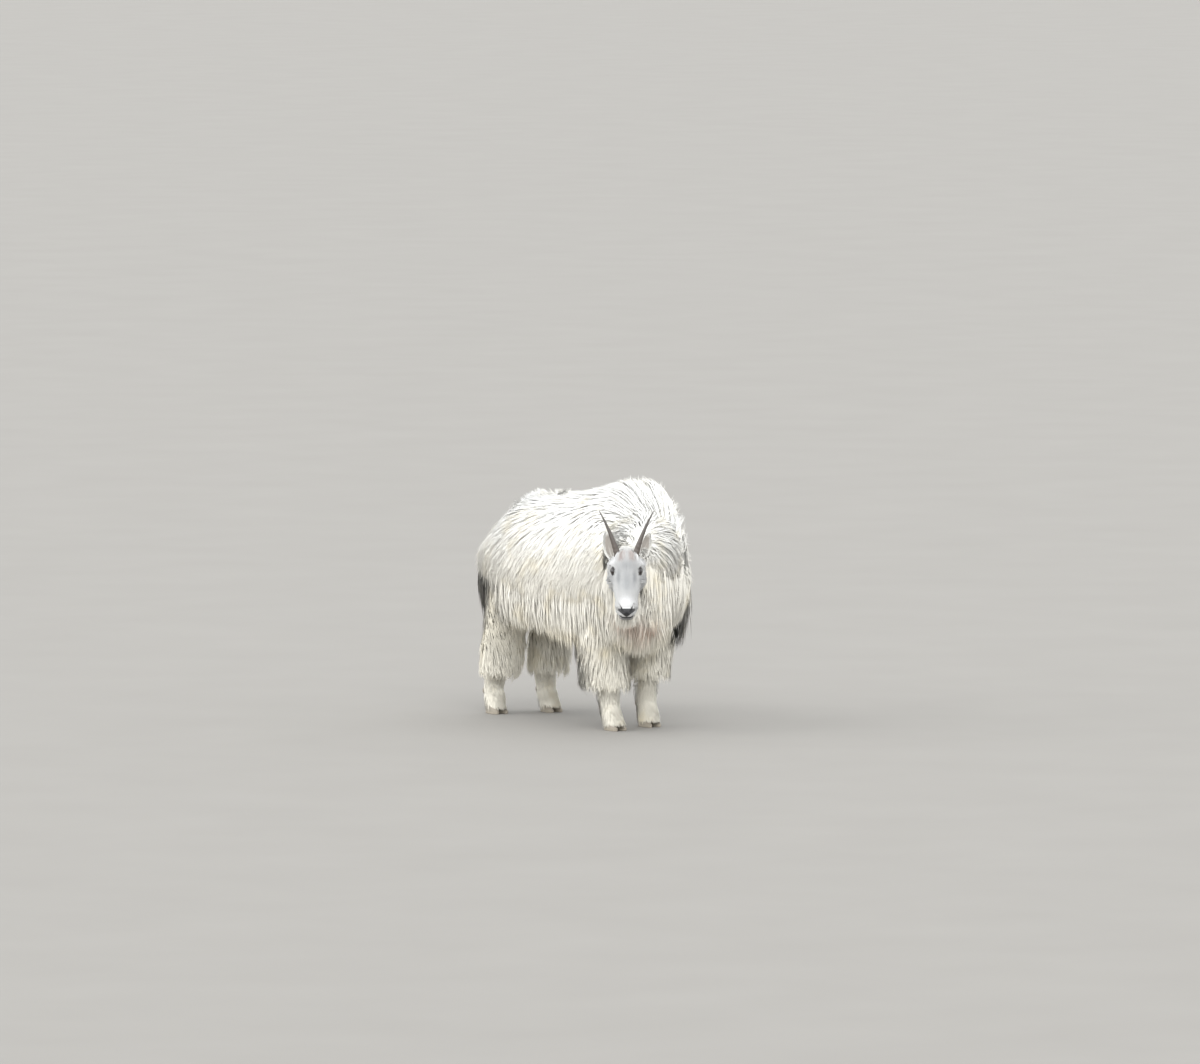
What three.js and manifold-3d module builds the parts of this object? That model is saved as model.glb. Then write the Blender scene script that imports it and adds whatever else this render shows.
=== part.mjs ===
// A mountain goat: an adult nanny in her long winter coat, standing on four feet with her head
// lowered and turned to her right. Millimetres, +Z up. She faces -Y, so her left side is +X.

import * as THREE from "three";
import { mergeVertices } from "three/addons/utils/BufferGeometryUtils.js";
import Module from "manifold-3d";

const wasm = await Module();
wasm.setup();

const { lerp, clamp, degToRad } = THREE.MathUtils;
const vector = (x, y, z) => new THREE.Vector3(x, y, z);
const UP = vector(0, 0, 1);
const SIDES = { left: 1, right: -1 };

// Clearance between pieces that touch.
const GAP = 0.3;

// The trunk's two ends, as skin and as the tips of the coat.
const BREAST_SKIN = -530;
const BREAST_COAT = -640;
const RUMP_SKIN = 455;
const RUMP_COAT = 520;

// The trunk from breast to rump. Each row: place along Y, then the skin's top, bottom and half
// width, the coat's top, bottom and half width, the level at which the trunk is widest, and how
// steeply its top is roofed.
const TRUNK = stations([
  [-560, 800, 470, 112, 935, 345, 152, 570, 0.95],
  [-420, 858, 440, 138, 955, 325, 232, 560, 1],
  [-300, 840, 432, 146, 926, 318, 248, 560, 1.05],
  [-150, 805, 430, 158, 885, 322, 250, 555, 1.1],
  [0, 790, 440, 165, 865, 325, 248, 550, 1.15],
  [150, 785, 462, 160, 853, 330, 242, 555, 1.25],
  [300, 775, 480, 150, 850, 340, 232, 570, 1.5],
  [420, 722, 500, 132, 768, 355, 214, 580, 1.8],
  [500, 670, 520, 110, 705, 375, 190, 580, 1.8],
]);

// The neck's centre line, from inside the trunk to inside the skull.
const NECK_LINE = new THREE.CatmullRomCurve3([
  vector(4, -230, 650),
  vector(0, -350, 655),
  vector(-28, -450, 660),
  vector(-100, -535, 655),
  vector(-178, -592, 648),
  vector(-205, -612, 642),
]);

// The neck from base to skull. Each row: share of the centre line, then how far the skin reaches
// up, down and to each side of it, and how far the coat does.
const NECK = stations([
  [0.2, 175, 180, 105, 235, 280, 190],
  [0.44, 142, 155, 92, 190, 225, 165],
  [0.68, 98, 122, 72, 130, 172, 132],
  [0.88, 58, 98, 52, 78, 128, 86],
  [1, 46, 80, 44, 58, 96, 62],
]);
const NECK_START = 0.2;

// The point midway between the eyes, how far the face's line slopes down, and how far it turns to
// her right.
const BETWEEN_EYES = vector(-238, -650, 613);
const FACE_SLOPE = degToRad(46);
const FACE_TURN = degToRad(-36);

// The head's own axes: X to her left, Y back from the nose to the poll, and Z out of the forehead.
const HEAD_ANGLES = new THREE.Euler(FACE_SLOPE, 0, FACE_TURN, "ZYX");
const HEAD_AXES = new THREE.Matrix4().makeRotationFromEuler(HEAD_ANGLES).setPosition(BETWEEN_EYES);

// The head from nose to poll, over its short fur. Each row: place along Y, then the level of the
// face's top, of its underside, its half width, and the level at which it is widest.
const NOSE_END = -190;
const POLL_END = 98;
const HEAD = stations([
  [-190, 14, -60, 34.5, -15],
  [-155, 22, -62, 37, -14],
  [-120, 25, -58, 36.5, -15],
  [-90, 27, -59, 38, -18],
  [-60, 32, -72, 44, -18],
  [-30, 39, -86, 52, -8],
  [0, 47, -93, 60, 6],
  [25, 51, -94, 59, 2],
  [60, 46, -86, 55, -8],
  [98, 24, -62, 46, -10],
]);

// Soft swellings and hollows of the face, alike on both sides: where each is, how far it spreads
// and how far it stands out. Brow, hollow under the eye, cheek, bridge, upper lip, forehead, chin.
const FACE_FORMS = [
  { x: 50, y: 14, z: 30, spread: 17, proud: 6 },
  { x: 46, y: -34, z: -2, spread: 16, proud: -5 },
  { x: 50, y: -22, z: -36, spread: 24, proud: 4 },
  { x: 30, y: -62, z: 22, spread: 20, proud: -2.5 },
  { x: 22, y: -146, z: -14, spread: 17, proud: 4 },
  { x: 0, y: 22, z: 52, spread: 26, proud: 3 },
  { x: 0, y: -150, z: -44, spread: 16, proud: 3 },
];

// Eyes, set into the sides of the head: place of the left one, the way it looks, the way its slit
// runs, and the opening between its lids, which are as thick as their rim.
const EYE = {
  radius: 15.5,
  place: vector(43, -5, 15),
  sight: vector(0.76, -0.27, 0.59),
  slit: vector(0.25, 1, 0.15),
};
const LIDS = { long: 13.5, high: 9.5, thick: 3.4 };

// Nostrils, and the groove between the lips, which ends at a corner on each cheek.
const NOSTRIL = { place: vector(18, -177, 5), half: [5, 8, 11], tilt: degToRad(35) };
const MOUTH = { level: -30, corner: -108, deep: 5, open: 2.4, slope: degToRad(-5) };

// Horns: slim, round and black, rising behind the eyes and curving back and apart. The left one's
// root, the way it rises and the way it sweeps.
const HORN = {
  root: vector(29, 40, 30),
  rise: vector(0.24, 0.56, 0.79),
  sweep: vector(0.46, 0.86, 0.24),
  length: 204,
  base: 14.5,
  tip: 1.5,
};
const HORN_RINGS = { count: 5, reach: 0.42, proud: 0.7 };

// Ears: leaves beside the horns, cupped forwards. Each leans its own way, given here for a left ear.
const EAR = {
  root: vector(47, 62, 4),
  lean: { left: vector(0.34, 0.84, 0.4), right: vector(0.26, 0.85, 0.38) },
  opening: vector(0.62, -0.25, 0.74),
  length: 108,
  wide: 27,
  thick: 4.5,
  cup: 1.05,
  parting: 22,
  margin: 0.6,
};

// Legs. Each row: the level, the centre's place aside and along Y, then half the width across and
// half the width fore and aft, first as skin with its short fur and then as the long coat, which
// ends at the hem, and how far the middle of the long coat lies behind the skin's.
const FORELEG = stations([
  [40, 90, -366, 34, 40, 34, 40, 0],
  [62, 92, -356, 33, 37, 40, 46, 2],
  [95, 94, -345, 34, 38, 58, 70, 6],
  [150, 96, -343, 32, 35, 88, 106, 12],
  [200, 98, -343, 33, 36, 92, 114, 14],
  [262, 104, -342, 36, 40, 94, 116, 12],
  [310, 112, -335, 34, 40, 98, 118, 6],
  [390, 124, -325, 37, 46, 118, 124, 0],
  [480, 130, -335, 46, 68, 124, 130, 0],
  [585, 128, -385, 52, 92, 94, 118, 0],
]);
const HINDLEG = stations([
  [40, 98, 368, 32, 38, 32, 38, 0],
  [62, 98, 376, 31, 36, 37, 44, 0],
  [95, 96, 382, 32, 37, 48, 58, -8],
  [150, 92, 380, 29, 33, 70, 98, -30],
  [200, 90, 372, 30, 34, 76, 106, -34],
  [262, 92, 362, 33, 42, 78, 108, -32],
  [310, 95, 335, 35, 46, 80, 110, -20],
  [380, 105, 290, 42, 58, 84, 116, -6],
  [470, 120, 250, 54, 88, 92, 126, 0],
  [560, 118, 265, 62, 108, 96, 132, 0],
  [660, 98, 290, 62, 110, 92, 128, 0],
]);

// Each leg's table, the side it is on, how far its foot is moved along and aside, its hem, its top
// inside the trunk, and the level where it is parted from the trunk.
const LEGS = {
  foreleg_left: { table: FORELEG, side: SIDES.left, along: 30, aside: 0, hem: 190, top: 580, parting: 415 },
  foreleg_right: { table: FORELEG, side: SIDES.right, along: 0, aside: 0, hem: 160, top: 580, parting: 415 },
  hindleg_left: { table: HINDLEG, side: SIDES.left, along: -62, aside: 4, hem: 158, top: 650, parting: 500 },
  hindleg_right: { table: HINDLEG, side: SIDES.right, along: 12, aside: 0, hem: 148, top: 650, parting: 500 },
};
const LEG_TOP = 500;
const ANKLE = 40;

// Hooves: two claws to a foot, apart at the toe.
const CLAW = {
  length: 80,
  heel: 30,
  wide: 29,
  high: ANKLE,
  between: 4,
  splay: degToRad(5),
  crest: 16,
  toe: 12,
  round: 3,
};

// Dewclaws: two knobs behind each fetlock.
const DEWCLAW = { radius: 11, level: 84, aside: 15 };

// Tail: short and broad, hanging against the rump.
const TAIL = {
  root: vector(0, 455, 715),
  tip: vector(0, 548, 560),
  wide: 44,
  thick: 26,
  coat: 22,
  parting: 512,
};

// The coat's core, as a share of the way from the skin to the tips of the locks that grow from it.
const CORE = 0.42;

// A lock: a flat blade with a low ridge. Rings along it, each with its place, its width and its
// height as shares, the lock's height as a share of its width, how deep its root lies as a share of
// the coat, the power by which it comes up through the coat, fuller below 1, and how much further
// its thin edges, its ridge, its underside, its root and its tip move out when it is drawn wider.
const LOCK = {
  rings: [
    [0, 0.75, 0.9],
    [0.52, 1, 1],
  ],
  high: 0.16,
  root: 0.2,
  fullness: 0.55,
  spread: { edge: 6, ridge: 1.5, under: 1.2, root: 2, tip: 16 },
};
const LOCK_SEED = 7;
const WANDER = 0.1;

// The flow of the hair: along the flanks, forwards along the neck's sides, along the crest, and
// straight down.
const FLANK_FLOW = vector(0, 0.5, -1);
const NECK_FLOW = vector(0.35, 0.75, -0.75);
const CREST_FLOW = vector(0, 1, 0.4);
const DOWN = vector(0, 0, -1);

// Locks of the trunk on each side. Where no flow is given, the hair hangs straight down. us runs
// from breast to rump, and vs is the turn from the spine.
const FLANK = { us: [-0.8, 0.94], vs: [0.36, 1.9], rows: 4, count: 6, width: 134, length: 240 };
const BELLY = { us: [-0.62, 0.66], vs: [2.35, 2.4], rows: 1, count: 5, width: 126, length: 130, loose: 0.85 };

// Locks of the trunk across its middle. On the crest us runs from breast to rump. On the breast and
// the withers it is the turn from the spine, and vs runs back from the breast.
const CREST = { us: [-0.88, 0.9], vs: [0, 0.001], rows: 1, count: 10, width: 96, length: 140, loose: 0.28 };
const BREAST = { us: [-2.6, 2.6], vs: [-0.96, -0.84], rows: 2, count: 6, width: 116, length: 200, loose: 0.2 };
const WITHERS = { us: [-1.2, 1.2], vs: [-0.9, -0.7], rows: 2, count: 3, width: 100, length: 150, loose: 0.3 };

// Locks of the neck, of the beard below the neck and jaw, and of the tail. us is the turn, and vs
// runs back from the head, from the nose and from the tail's root.
const RUFF = { us: [-2.9, 2.9], vs: [0.856, 0.488], rows: 3, count: 5, width: 124, length: 165 };
const THROAT = { us: [2.2, 4.1], vs: [0.888, 0.6], rows: 2, count: 3, width: 74, length: 205, loose: 0.9 };
const JAW = { us: [2.1, 4.2], vs: [0.36, 0.5], rows: 2, count: 2, width: 52, length: 150, loose: 0.95 };
const BRUSH = { us: [-1.6, 1.6], vs: [0.3, 0.62], rows: 2, count: 3, width: 50, length: 110, loose: 0.4 };

// Locks of the legs' long coat: the rows and counts on a foreleg and on a hind leg, and where the
// rows start and end from the parting and the hem. Above the parting the trunk has a row of its own
// over each leg.
const CHAPS = { fore: [2, 5], hind: [3, 4], below: 50, above: 100, width: 74, length: 130, loose: 0.2 };
const HAUNCH = { above: 90, count: 2, length: 170 };

// How far above the hem the legs' core ends, the share of the neck where the head is parted from
// it, the share where it is parted from the trunk, and how far the zones reach past the core.
const HEM_RISE = 36;
const HEAD_PARTING = 0.88;
const NECK_PARTING = 0.44;
const ZONE_MARGIN = 16;
const CANNON_MARGIN = 30;
const NECK_MARGIN = 20;

// How finely the smooth forms are faceted.
const TRUNK_FACETS = [14, 20];
const NECK_FACETS = [6, 14];
const HEAD_FACETS = [19, 18];
const LEG_FACETS = [8, 10];
const HORN_FACETS = [12, 8];
const EAR_FACETS = [6, 12];
const TAIL_FACETS = [6, 10];
const EYE_FACETS = [8, 8];
const LID_FACETS = [4, 12];

// A table of stations as a smooth function of place.
function stations(rows) {
  const places = rows.map((row) => row[0]);
  const values = rows.flatMap((row) => row.slice(1));
  const spline = new THREE.CubicInterpolant(places, values, rows[0].length - 1);
  return (place) => Array.from(spline.evaluate(clamp(place, places[0], places.at(-1))));
}

// Width of a form that is rounded at both ends, at a share from -1 to 1 along it. Fuller with a
// larger power.
function rounded(share, power) {
  return Math.max(0, 1 - Math.abs(share) ** power) ** (1 / power);
}

// A sine or cosine whose curve is fuller (power under 1) or more pointed (over 1).
function bent(value, power) {
  return Math.sign(value) * Math.abs(value) ** power;
}

// Steps from -1 to 1 that crowd towards both ends, where a rounded form turns most.
function crowded(share) {
  return 0.997 * Math.sin(Math.PI * (share - 0.5));
}

// Closed surface through steps + 1 rings of points, each end closed by a flat fan. pointAt takes
// the share from the first ring to the last and the turn in radians.
function closedSurface(pointAt, [steps, around]) {
  const positions = [];
  const faces = [];
  const ends = [vector(0, 0, 0), vector(0, 0, 0)];
  for (let i = 0; i <= steps; i++) {
    for (let j = 0; j < around; j++) {
      const point = pointAt(i / steps, (2 * Math.PI * j) / around);
      positions.push(...point);
      if (i === 0) ends[0].addScaledVector(point, 1 / around);
      if (i === steps) ends[1].addScaledVector(point, 1 / around);
    }
  }
  const first = positions.length / 3;
  positions.push(...ends[0], ...ends[1]);
  const at = (i, j) => i * around + (j % around);
  for (let j = 0; j < around; j++) {
    faces.push(first, at(0, j + 1), at(0, j));
    faces.push(first + 1, at(steps, j), at(steps, j + 1));
    for (let i = 0; i < steps; i++) {
      faces.push(at(i, j), at(i, j + 1), at(i + 1, j));
      faces.push(at(i, j + 1), at(i + 1, j + 1), at(i + 1, j));
    }
  }
  const geometry = new THREE.BufferGeometry();
  geometry.setAttribute("position", new THREE.Float32BufferAttribute(positions, 3));
  geometry.setIndex(faces);
  return geometry;
}

// A closed geometry as a solid, whichever way its faces were wound.
function solid(geometry) {
  const bare = geometry.clone();
  bare.deleteAttribute("normal");
  bare.deleteAttribute("uv");
  const merged = mergeVertices(bare, 1e-3);
  const vertProperties = merged.attributes.position.array;
  const triVerts = new Uint32Array(merged.index.array);
  const made = new wasm.Manifold(new wasm.Mesh({ numProp: 3, vertProperties, triVerts }));
  if (made.volume() > 0) return made;
  return new wasm.Manifold(new wasm.Mesh({ numProp: 3, vertProperties, triVerts: triVerts.reverse() }));
}

// A solid's faces as a geometry.
function geometryOf(made) {
  const { vertProperties, triVerts } = made.getMesh();
  const geometry = new THREE.BufferGeometry();
  geometry.setAttribute("position", new THREE.BufferAttribute(vertProperties, 3));
  geometry.setIndex(new THREE.BufferAttribute(triVerts, 1));
  return geometry;
}

// The largest closed body of a solid.
function largest(made) {
  return made.decompose().sort((a, b) => b.volume() - a.volume())[0];
}

// All solids joined.
function joined(solids) {
  return wasm.Manifold.union(solids);
}

// The half of space beyond a plane, as a block far larger than the goat.
function beyond(point, way) {
  const size = 4000;
  const block = new THREE.BoxGeometry(size, size, size).translate(0, 0, size / 2);
  block.applyQuaternion(new THREE.Quaternion().setFromUnitVectors(UP, way.clone().normalize()));
  return solid(block.translate(...point));
}

// Point of the trunk: along from -1 at the breast to 1 at the rump, turn from the spine by way of
// her left, depth 0 at the skin and 1 at the tips of the coat, and how much wider than itself it is
// drawn.
function trunkPoint(along, turn, depth, wider = 0) {
  const front = lerp(BREAST_SKIN, BREAST_COAT, depth);
  const back = lerp(RUMP_SKIN, RUMP_COAT, depth);
  const y = lerp(front, back, (along + 1) / 2);
  const [skinTop, skinBottom, skinHalf, coatTop, coatBottom, coatHalf, widest, roof] = TRUNK(y);
  const end = rounded(along, along < 0 ? 4.5 : 3);
  const upward = Math.cos(turn);
  const [top, bottom] = [lerp(skinTop, coatTop, depth), lerp(skinBottom, coatBottom, depth)];
  const rise = upward > 0 ? top - widest : widest - bottom;
  const half = lerp(skinHalf, coatHalf, depth) + wider;
  const x = half * end * bent(Math.sin(turn), upward > 0 ? roof : 0.85);
  return vector(x, y, widest + (rise + wider) * end * upward);
}

// Point of the neck: share from 0 inside the trunk to 1 inside the skull, turn and depth as on the
// trunk, and how much wider than itself it is drawn.
function neckPoint(share, turn, depth, wider = 0) {
  const [skinUp, skinDown, skinSide, coatUp, coatDown, coatSide] = NECK(share);
  const centre = NECK_LINE.getPoint(share);
  const ahead = NECK_LINE.getTangent(share);
  const left = UP.clone().cross(ahead).normalize();
  const over = ahead.clone().cross(left);
  const upward = Math.cos(turn);
  const rise = wider + (upward > 0 ? lerp(skinUp, coatUp, depth) : lerp(skinDown, coatDown, depth));
  const side = wider + lerp(skinSide, coatSide, depth);
  return centre.addScaledVector(left, side * Math.sin(turn)).addScaledVector(over, rise * upward);
}

// A place on the head's left side, moved to the side asked for.
function sided(side, point) {
  return vector(side * point.x, point.y, point.z);
}

// Point of the head in its own axes: share from 0 at the nose to 1 at the poll, turn from the
// forehead by way of her left, and how much wider than itself it is drawn.
function headPoint(share, turn, wider = 0) {
  const y = lerp(NOSE_END, POLL_END, share);
  const [top, bottom, half, widest] = HEAD(y);
  const end = rounded(2 * share - 1, 4.5);
  const upward = Math.cos(turn);
  const rise = upward > 0 ? top - widest : widest - bottom;
  const x = half * end * bent(Math.sin(turn), 0.85);
  const z = widest + rise * end * bent(upward, 0.9);
  const chin = 0.1 * Math.max(0, -z - 34) * clamp((-90 - y) / 80, 0, 1);
  let proud = wider;
  for (const form of FACE_FORMS) {
    const away = Math.hypot(Math.abs(x) - form.x, y - form.y, z - form.z);
    proud += form.proud * Math.exp(-((away / form.spread) ** 2));
  }
  const push = 1 + proud / (Math.hypot(x, z - widest) || 1);
  return vector(x * push, y + chin, widest + (z - widest) * push);
}

// Point of a leg at a level, with depth 0 as skin and 1 as the long coat, and how much wider it is
// drawn.
function legPoint(leg, level, turn, depth, wider = 0) {
  const [x, y, skinAcross, skinAlong, coatAcross, coatAlong, behind] = leg.table(level);
  const moved = 1 - clamp((level - ANKLE) / (LEG_TOP - ANKLE), 0, 1);
  const across = wider + lerp(skinAcross, coatAcross, depth);
  const fore = wider + lerp(skinAlong, coatAlong, depth);
  return vector(
    leg.side * (x + leg.aside * moved) + across * Math.sin(turn),
    y + behind * depth + leg.along * moved + fore * Math.cos(turn),
    level,
  );
}

// Point of the jaw over its short fur, where the beard grows: turn, share and depth as on the neck.
function jawPoint(turn, share, depth) {
  const point = headPoint(share, turn);
  const out = vector(point.x, 0, point.z).normalize();
  return point.addScaledVector(out, lerp(-12, 18, depth)).applyMatrix4(HEAD_AXES);
}

// Point of the tail, a flat leaf: turn from its outer face, share from its root to its tip, and
// depth as on the trunk.
function tailPoint(turn, share, depth) {
  const end = rounded(lerp(-0.6, 0.99, share), 3);
  const centre = TAIL.root.clone().lerp(TAIL.tip, share);
  const [wide, thick] = [TAIL.wide, TAIL.thick].map((half) => half * end + TAIL.coat * (depth - CORE));
  return centre.add(vector(wide * Math.sin(turn), thick * Math.cos(turn), 0));
}

// Length of leg between two levels.
function legTube(leg, from, to, depth, wider = 0) {
  return solid(closedSurface((u, turn) => legPoint(leg, lerp(from, to, u), turn, depth, wider), LEG_FACETS));
}

// A leg with its dewclaws and the core of its coat, which ends a little above the hem, where the
// cannon is parted.
function legSolid(leg, wider) {
  const knobs = [-1, 1].map((k) => {
    const behind = legPoint(leg, DEWCLAW.level, 0, 0);
    const knob = new THREE.SphereGeometry(DEWCLAW.radius + wider, 6, 4);
    return solid(knob.translate(behind.x + k * DEWCLAW.aside, behind.y - 3, behind.z));
  });
  return joined([
    legTube(leg, ANKLE + GAP, leg.top, 0, wider),
    legTube(leg, leg.hem + HEM_RISE, leg.top, CORE, wider),
    ...knobs,
  ]);
}

// A random number from 0 to 1 at each call, the same ones for the same seed.
function randomFrom(seed) {
  let state = seed;
  return () => {
    state = (state + 0x6d2b79f5) | 0;
    let mixed = Math.imul(state ^ (state >>> 15), 1 | state);
    mixed = (mixed + Math.imul(mixed ^ (mixed >>> 7), 61 | mixed)) ^ mixed;
    return ((mixed ^ (mixed >>> 14)) >>> 0) / 4294967296;
  };
}

// The middle line of a lock that grows at u and v of a surface. Lying, it follows the flow over the
// surface, from its root's depth to the tips of the coat. Free, it runs straight along the flow.
// loose is how free it is.
function lockPath(surface, { u, v, flow, length, loose = 0 }) {
  const [small, steps] = [1e-3, 8];
  const root = surface(u, v, LOCK.root);
  const points = [];
  for (let k = 0; k <= steps; k++) {
    const share = k / steps;
    const lying = surface(u, v, lerp(LOCK.root, 1, share ** LOCK.fullness));
    points.push(lying.lerp(root.clone().addScaledVector(flow, length * share), loose));
    const alongU = surface(u + small, v, 0.5).sub(surface(u - small, v, 0.5)).divideScalar(2 * small);
    const alongV = surface(u, v + small, 0.5).sub(surface(u, v - small, 0.5)).divideScalar(2 * small);
    const [a, b, c] = [alongU.dot(alongU), alongU.dot(alongV), alongV.dot(alongV)];
    const [p, q] = [alongU.dot(flow), alongV.dot(flow)];
    const [du, dv] = [p * c - q * b, q * a - p * b];
    const step = alongU.clone().multiplyScalar(du).addScaledVector(alongV, dv).length() || 1;
    u += (du / step) * (length / steps);
    v += (dv / step) * (length / steps);
  }
  return new THREE.CatmullRomCurve3(points);
}

// A lock: a flat, tapered blade along its middle line, lying on its surface with its ridge
// outwards, and how much wider it is drawn.
function lockSolid(surface, lock, wider) {
  const path = lockPath(surface, lock);
  const places = [...LOCK.rings.map(([place]) => place), 1];
  const centres = places.map((place) => path.getPoint(place));
  const out = surface(lock.u, lock.v, 1).sub(surface(lock.u, lock.v, 0)).normalize();
  const side = centres.at(-1).clone().sub(centres[0]).cross(out).normalize();
  const { edge, ridge, under, root, tip } = LOCK.spread;
  const positions = [];
  centres.forEach((centre, i) => {
    const before = centre.clone().sub(centres[i - 1] ?? centre).normalize();
    const after = (centres[i + 1] ?? centre).clone().sub(centre).normalize();
    const ahead = before.add(after).normalize();
    const over = side.clone().cross(ahead).normalize();
    const sunk = centre.clone().addScaledVector(over, -under * wider);
    if (i === LOCK.rings.length) {
      positions.push(...sunk.addScaledVector(ahead, tip * wider));
      return;
    }
    const [, wide, high] = LOCK.rings[i];
    const half = (lock.width * wide) / 2 + edge * wider;
    const rise = lock.width * LOCK.high * high + (ridge + under) * wider;
    sunk.addScaledVector(ahead, i === 0 ? -root * wider : 0);
    const left = sunk.clone().addScaledVector(side, half);
    const right = sunk.clone().addScaledVector(side, -half);
    positions.push(...left, ...right, ...sunk.addScaledVector(over, rise));
  });
  const count = LOCK.rings.length;
  const faces = [0, 1, 2];
  for (let j = 0; j < 3; j++) {
    const next = (j + 1) % 3;
    for (let i = 0; i < count - 1; i++) {
      faces.push(3 * i + j, 3 * i + 3 + j, 3 * i + next);
      faces.push(3 * i + next, 3 * i + 3 + j, 3 * i + 3 + next);
    }
    faces.push(3 * count - 3 + j, 3 * count, 3 * count - 3 + next);
  }
  const geometry = new THREE.BufferGeometry();
  geometry.setAttribute("position", new THREE.Float32BufferAttribute(positions, 3));
  geometry.setIndex(faces);
  return solid(geometry);
}

// Rows of locks over a patch of a surface, staggered from row to row. us and vs are the patch's
// spans, across the flow and along it. Each lock varies in place, width, length and flow. Where
// bare says so, none grows.
function patch(surface, spans) {
  const { us, vs, rows, count, width, length, flow = DOWN, loose = 0, bare = () => false } = spans;
  const random = randomFrom(LOCK_SEED + Math.round(1000 * (us[0] + vs[0]) + 7 * rows + count));
  const vary = (amount) => amount * (2 * random() - 1);
  const locks = [];
  for (let row = 0; row < rows; row++) {
    const down = rows > 1 ? row / (rows - 1) : 0;
    for (let k = 0; k < count; k++) {
      const across = (k + (row % 2 ? 0.75 : 0.25) + vary(0.1)) / count;
      const u = lerp(us[0], us[1], across);
      const v = lerp(vs[0], vs[1], down) + vary(0.15 / rows) * (vs[1] - vs[0]);
      const lock = { surface, u, v, loose };
      lock.width = width * (1 + vary(0.1));
      lock.length = length * (1 + vary(0.12));
      lock.flow = flow.clone().add(vector(vary(WANDER), vary(WANDER), vary(WANDER))).normalize();
      if (!bare(surface(u, v, LOCK.root))) locks.push(lock);
    }
  }
  return locks;
}

// The ground below the middle of a leg's end.
function footCentre(leg) {
  const fore = legPoint(leg, ANKLE, Math.PI, 0);
  return legPoint(leg, ANKLE, 0, 0).add(fore).multiplyScalar(0.5).setZ(0);
}

// One claw of a hoof about its foot's centre: its outline from the side, as wide as the claw and
// splayed about its heel. side is 1 for the left claw.
function clawSolid(side) {
  const { length, heel, wide, high, between, splay, crest, toe, round } = CLAW;
  const outline = new THREE.Shape();
  outline.moveTo(heel - round, round);
  outline.lineTo(heel - round, high - round);
  outline.lineTo(-crest, high - round);
  outline.lineTo(heel - length + round, toe);
  outline.lineTo(heel - length + round, round);
  const claw = new THREE.ExtrudeGeometry(outline, {
    depth: wide - 2 * round,
    bevelThickness: round,
    bevelSize: round,
    bevelSegments: 1,
  });
  // The outline's X runs back along Y and its Y runs up, so that the depth runs aside.
  const axes = new THREE.Matrix4().makeBasis(vector(0, 1, 0), UP, vector(1, 0, 0));
  claw.translate(0, 0, round).applyMatrix4(axes).translate(0, -heel, 0).rotateZ(splay);
  return solid(claw.translate(between / 2, heel, 0).scale(side, 1, 1));
}

// Centre of a horn at a share of its length: a curve from the way it rises towards the way it sweeps.
function hornCentre(side, share) {
  return sided(side, HORN.root)
    .addScaledVector(sided(side, HORN.rise).normalize(), HORN.length * share * (1 - share / 2))
    .addScaledVector(sided(side, HORN.sweep).normalize(), (HORN.length * share * share) / 2);
}

// A horn in the head's axes, round and tapering, with rings near its base, and how much wider it is
// drawn.
function hornSolid(side, wider = 0) {
  return solid(
    closedSurface((u, turn) => {
      const share = lerp(-wider / HORN.length, 1, u);
      const centre = hornCentre(side, share);
      const ahead = hornCentre(side, share + 0.01).sub(centre).normalize();
      const across = ahead.clone().cross(UP).normalize();
      const over = across.clone().cross(ahead);
      const { count, reach, proud } = HORN_RINGS;
      const ring = proud * clamp(1 - share / reach, 0, 1) * Math.cos((2 * Math.PI * count * share) / reach);
      const radius = lerp(HORN.base, HORN.tip, u ** 0.85) + ring + wider;
      centre.addScaledVector(across, radius * Math.sin(turn));
      return centre.addScaledVector(over, radius * Math.cos(turn));
    }, HORN_FACETS),
  );
}

// The way an ear points, and the two ways across it: its width and the way its cup opens.
function earAxes(name) {
  const ahead = sided(SIDES[name], EAR.lean[name]).normalize();
  const across = ahead.clone().cross(sided(SIDES[name], EAR.opening)).normalize();
  return { ahead, across, open: across.clone().cross(ahead) };
}

// An ear in the head's axes: a leaf whose edges curl forwards. One round goes up the inside of the
// cup and back over its outside. wider is how much wider than itself it is drawn.
function earSolid(name, wider) {
  const { ahead, across, open } = earAxes(name);
  const root = sided(SIDES[name], EAR.root);
  return solid(
    closedSurface((u, turn) => {
      const share = lerp(0, 0.985, u);
      const half = EAR.wide * Math.sin(Math.PI * lerp(0.16, 1, share ** 0.9)) ** 0.8;
      const curl = EAR.cup * lerp(1.5, 0.75, share);
      const edge = Math.sin(turn) * (curl + (2 * curl * wider) / half);
      const radius = half / curl + Math.cos(turn) * (EAR.thick / 2 + wider);
      return root
        .clone()
        .addScaledVector(ahead, EAR.length * share)
        .addScaledVector(across, radius * Math.sin(edge))
        .addScaledVector(open, (half / curl) * 0.6 - radius * Math.cos(edge));
    }, EAR_FACETS),
  );
}

// The space that holds an ear, from its parting upwards, in the head's axes.
function earZone(name, wider) {
  const { ahead } = earAxes(name);
  const start = sided(SIDES[name], EAR.root).addScaledVector(ahead, EAR.parting - wider);
  return earSolid(name, EAR.margin + wider).intersect(beyond(start, ahead));
}

// Eyeball in the head's axes, and how much wider it is drawn.
function eyeGeometry(side, wider = 0) {
  return new THREE.SphereGeometry(EYE.radius + wider, ...EYE_FACETS).translate(...sided(side, EYE.place));
}

// Turns a geometry made along +Z to the way an eye looks, with X along its slit, and puts it at the eye.
function atEye(geometry, side) {
  const sight = sided(side, EYE.sight).normalize();
  const slit = sided(side, EYE.slit).projectOnPlane(sight).normalize();
  const axes = new THREE.Matrix4().makeBasis(slit, sight.clone().cross(slit), sight);
  return geometry.applyMatrix4(axes.setPosition(sided(side, EYE.place)));
}

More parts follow.
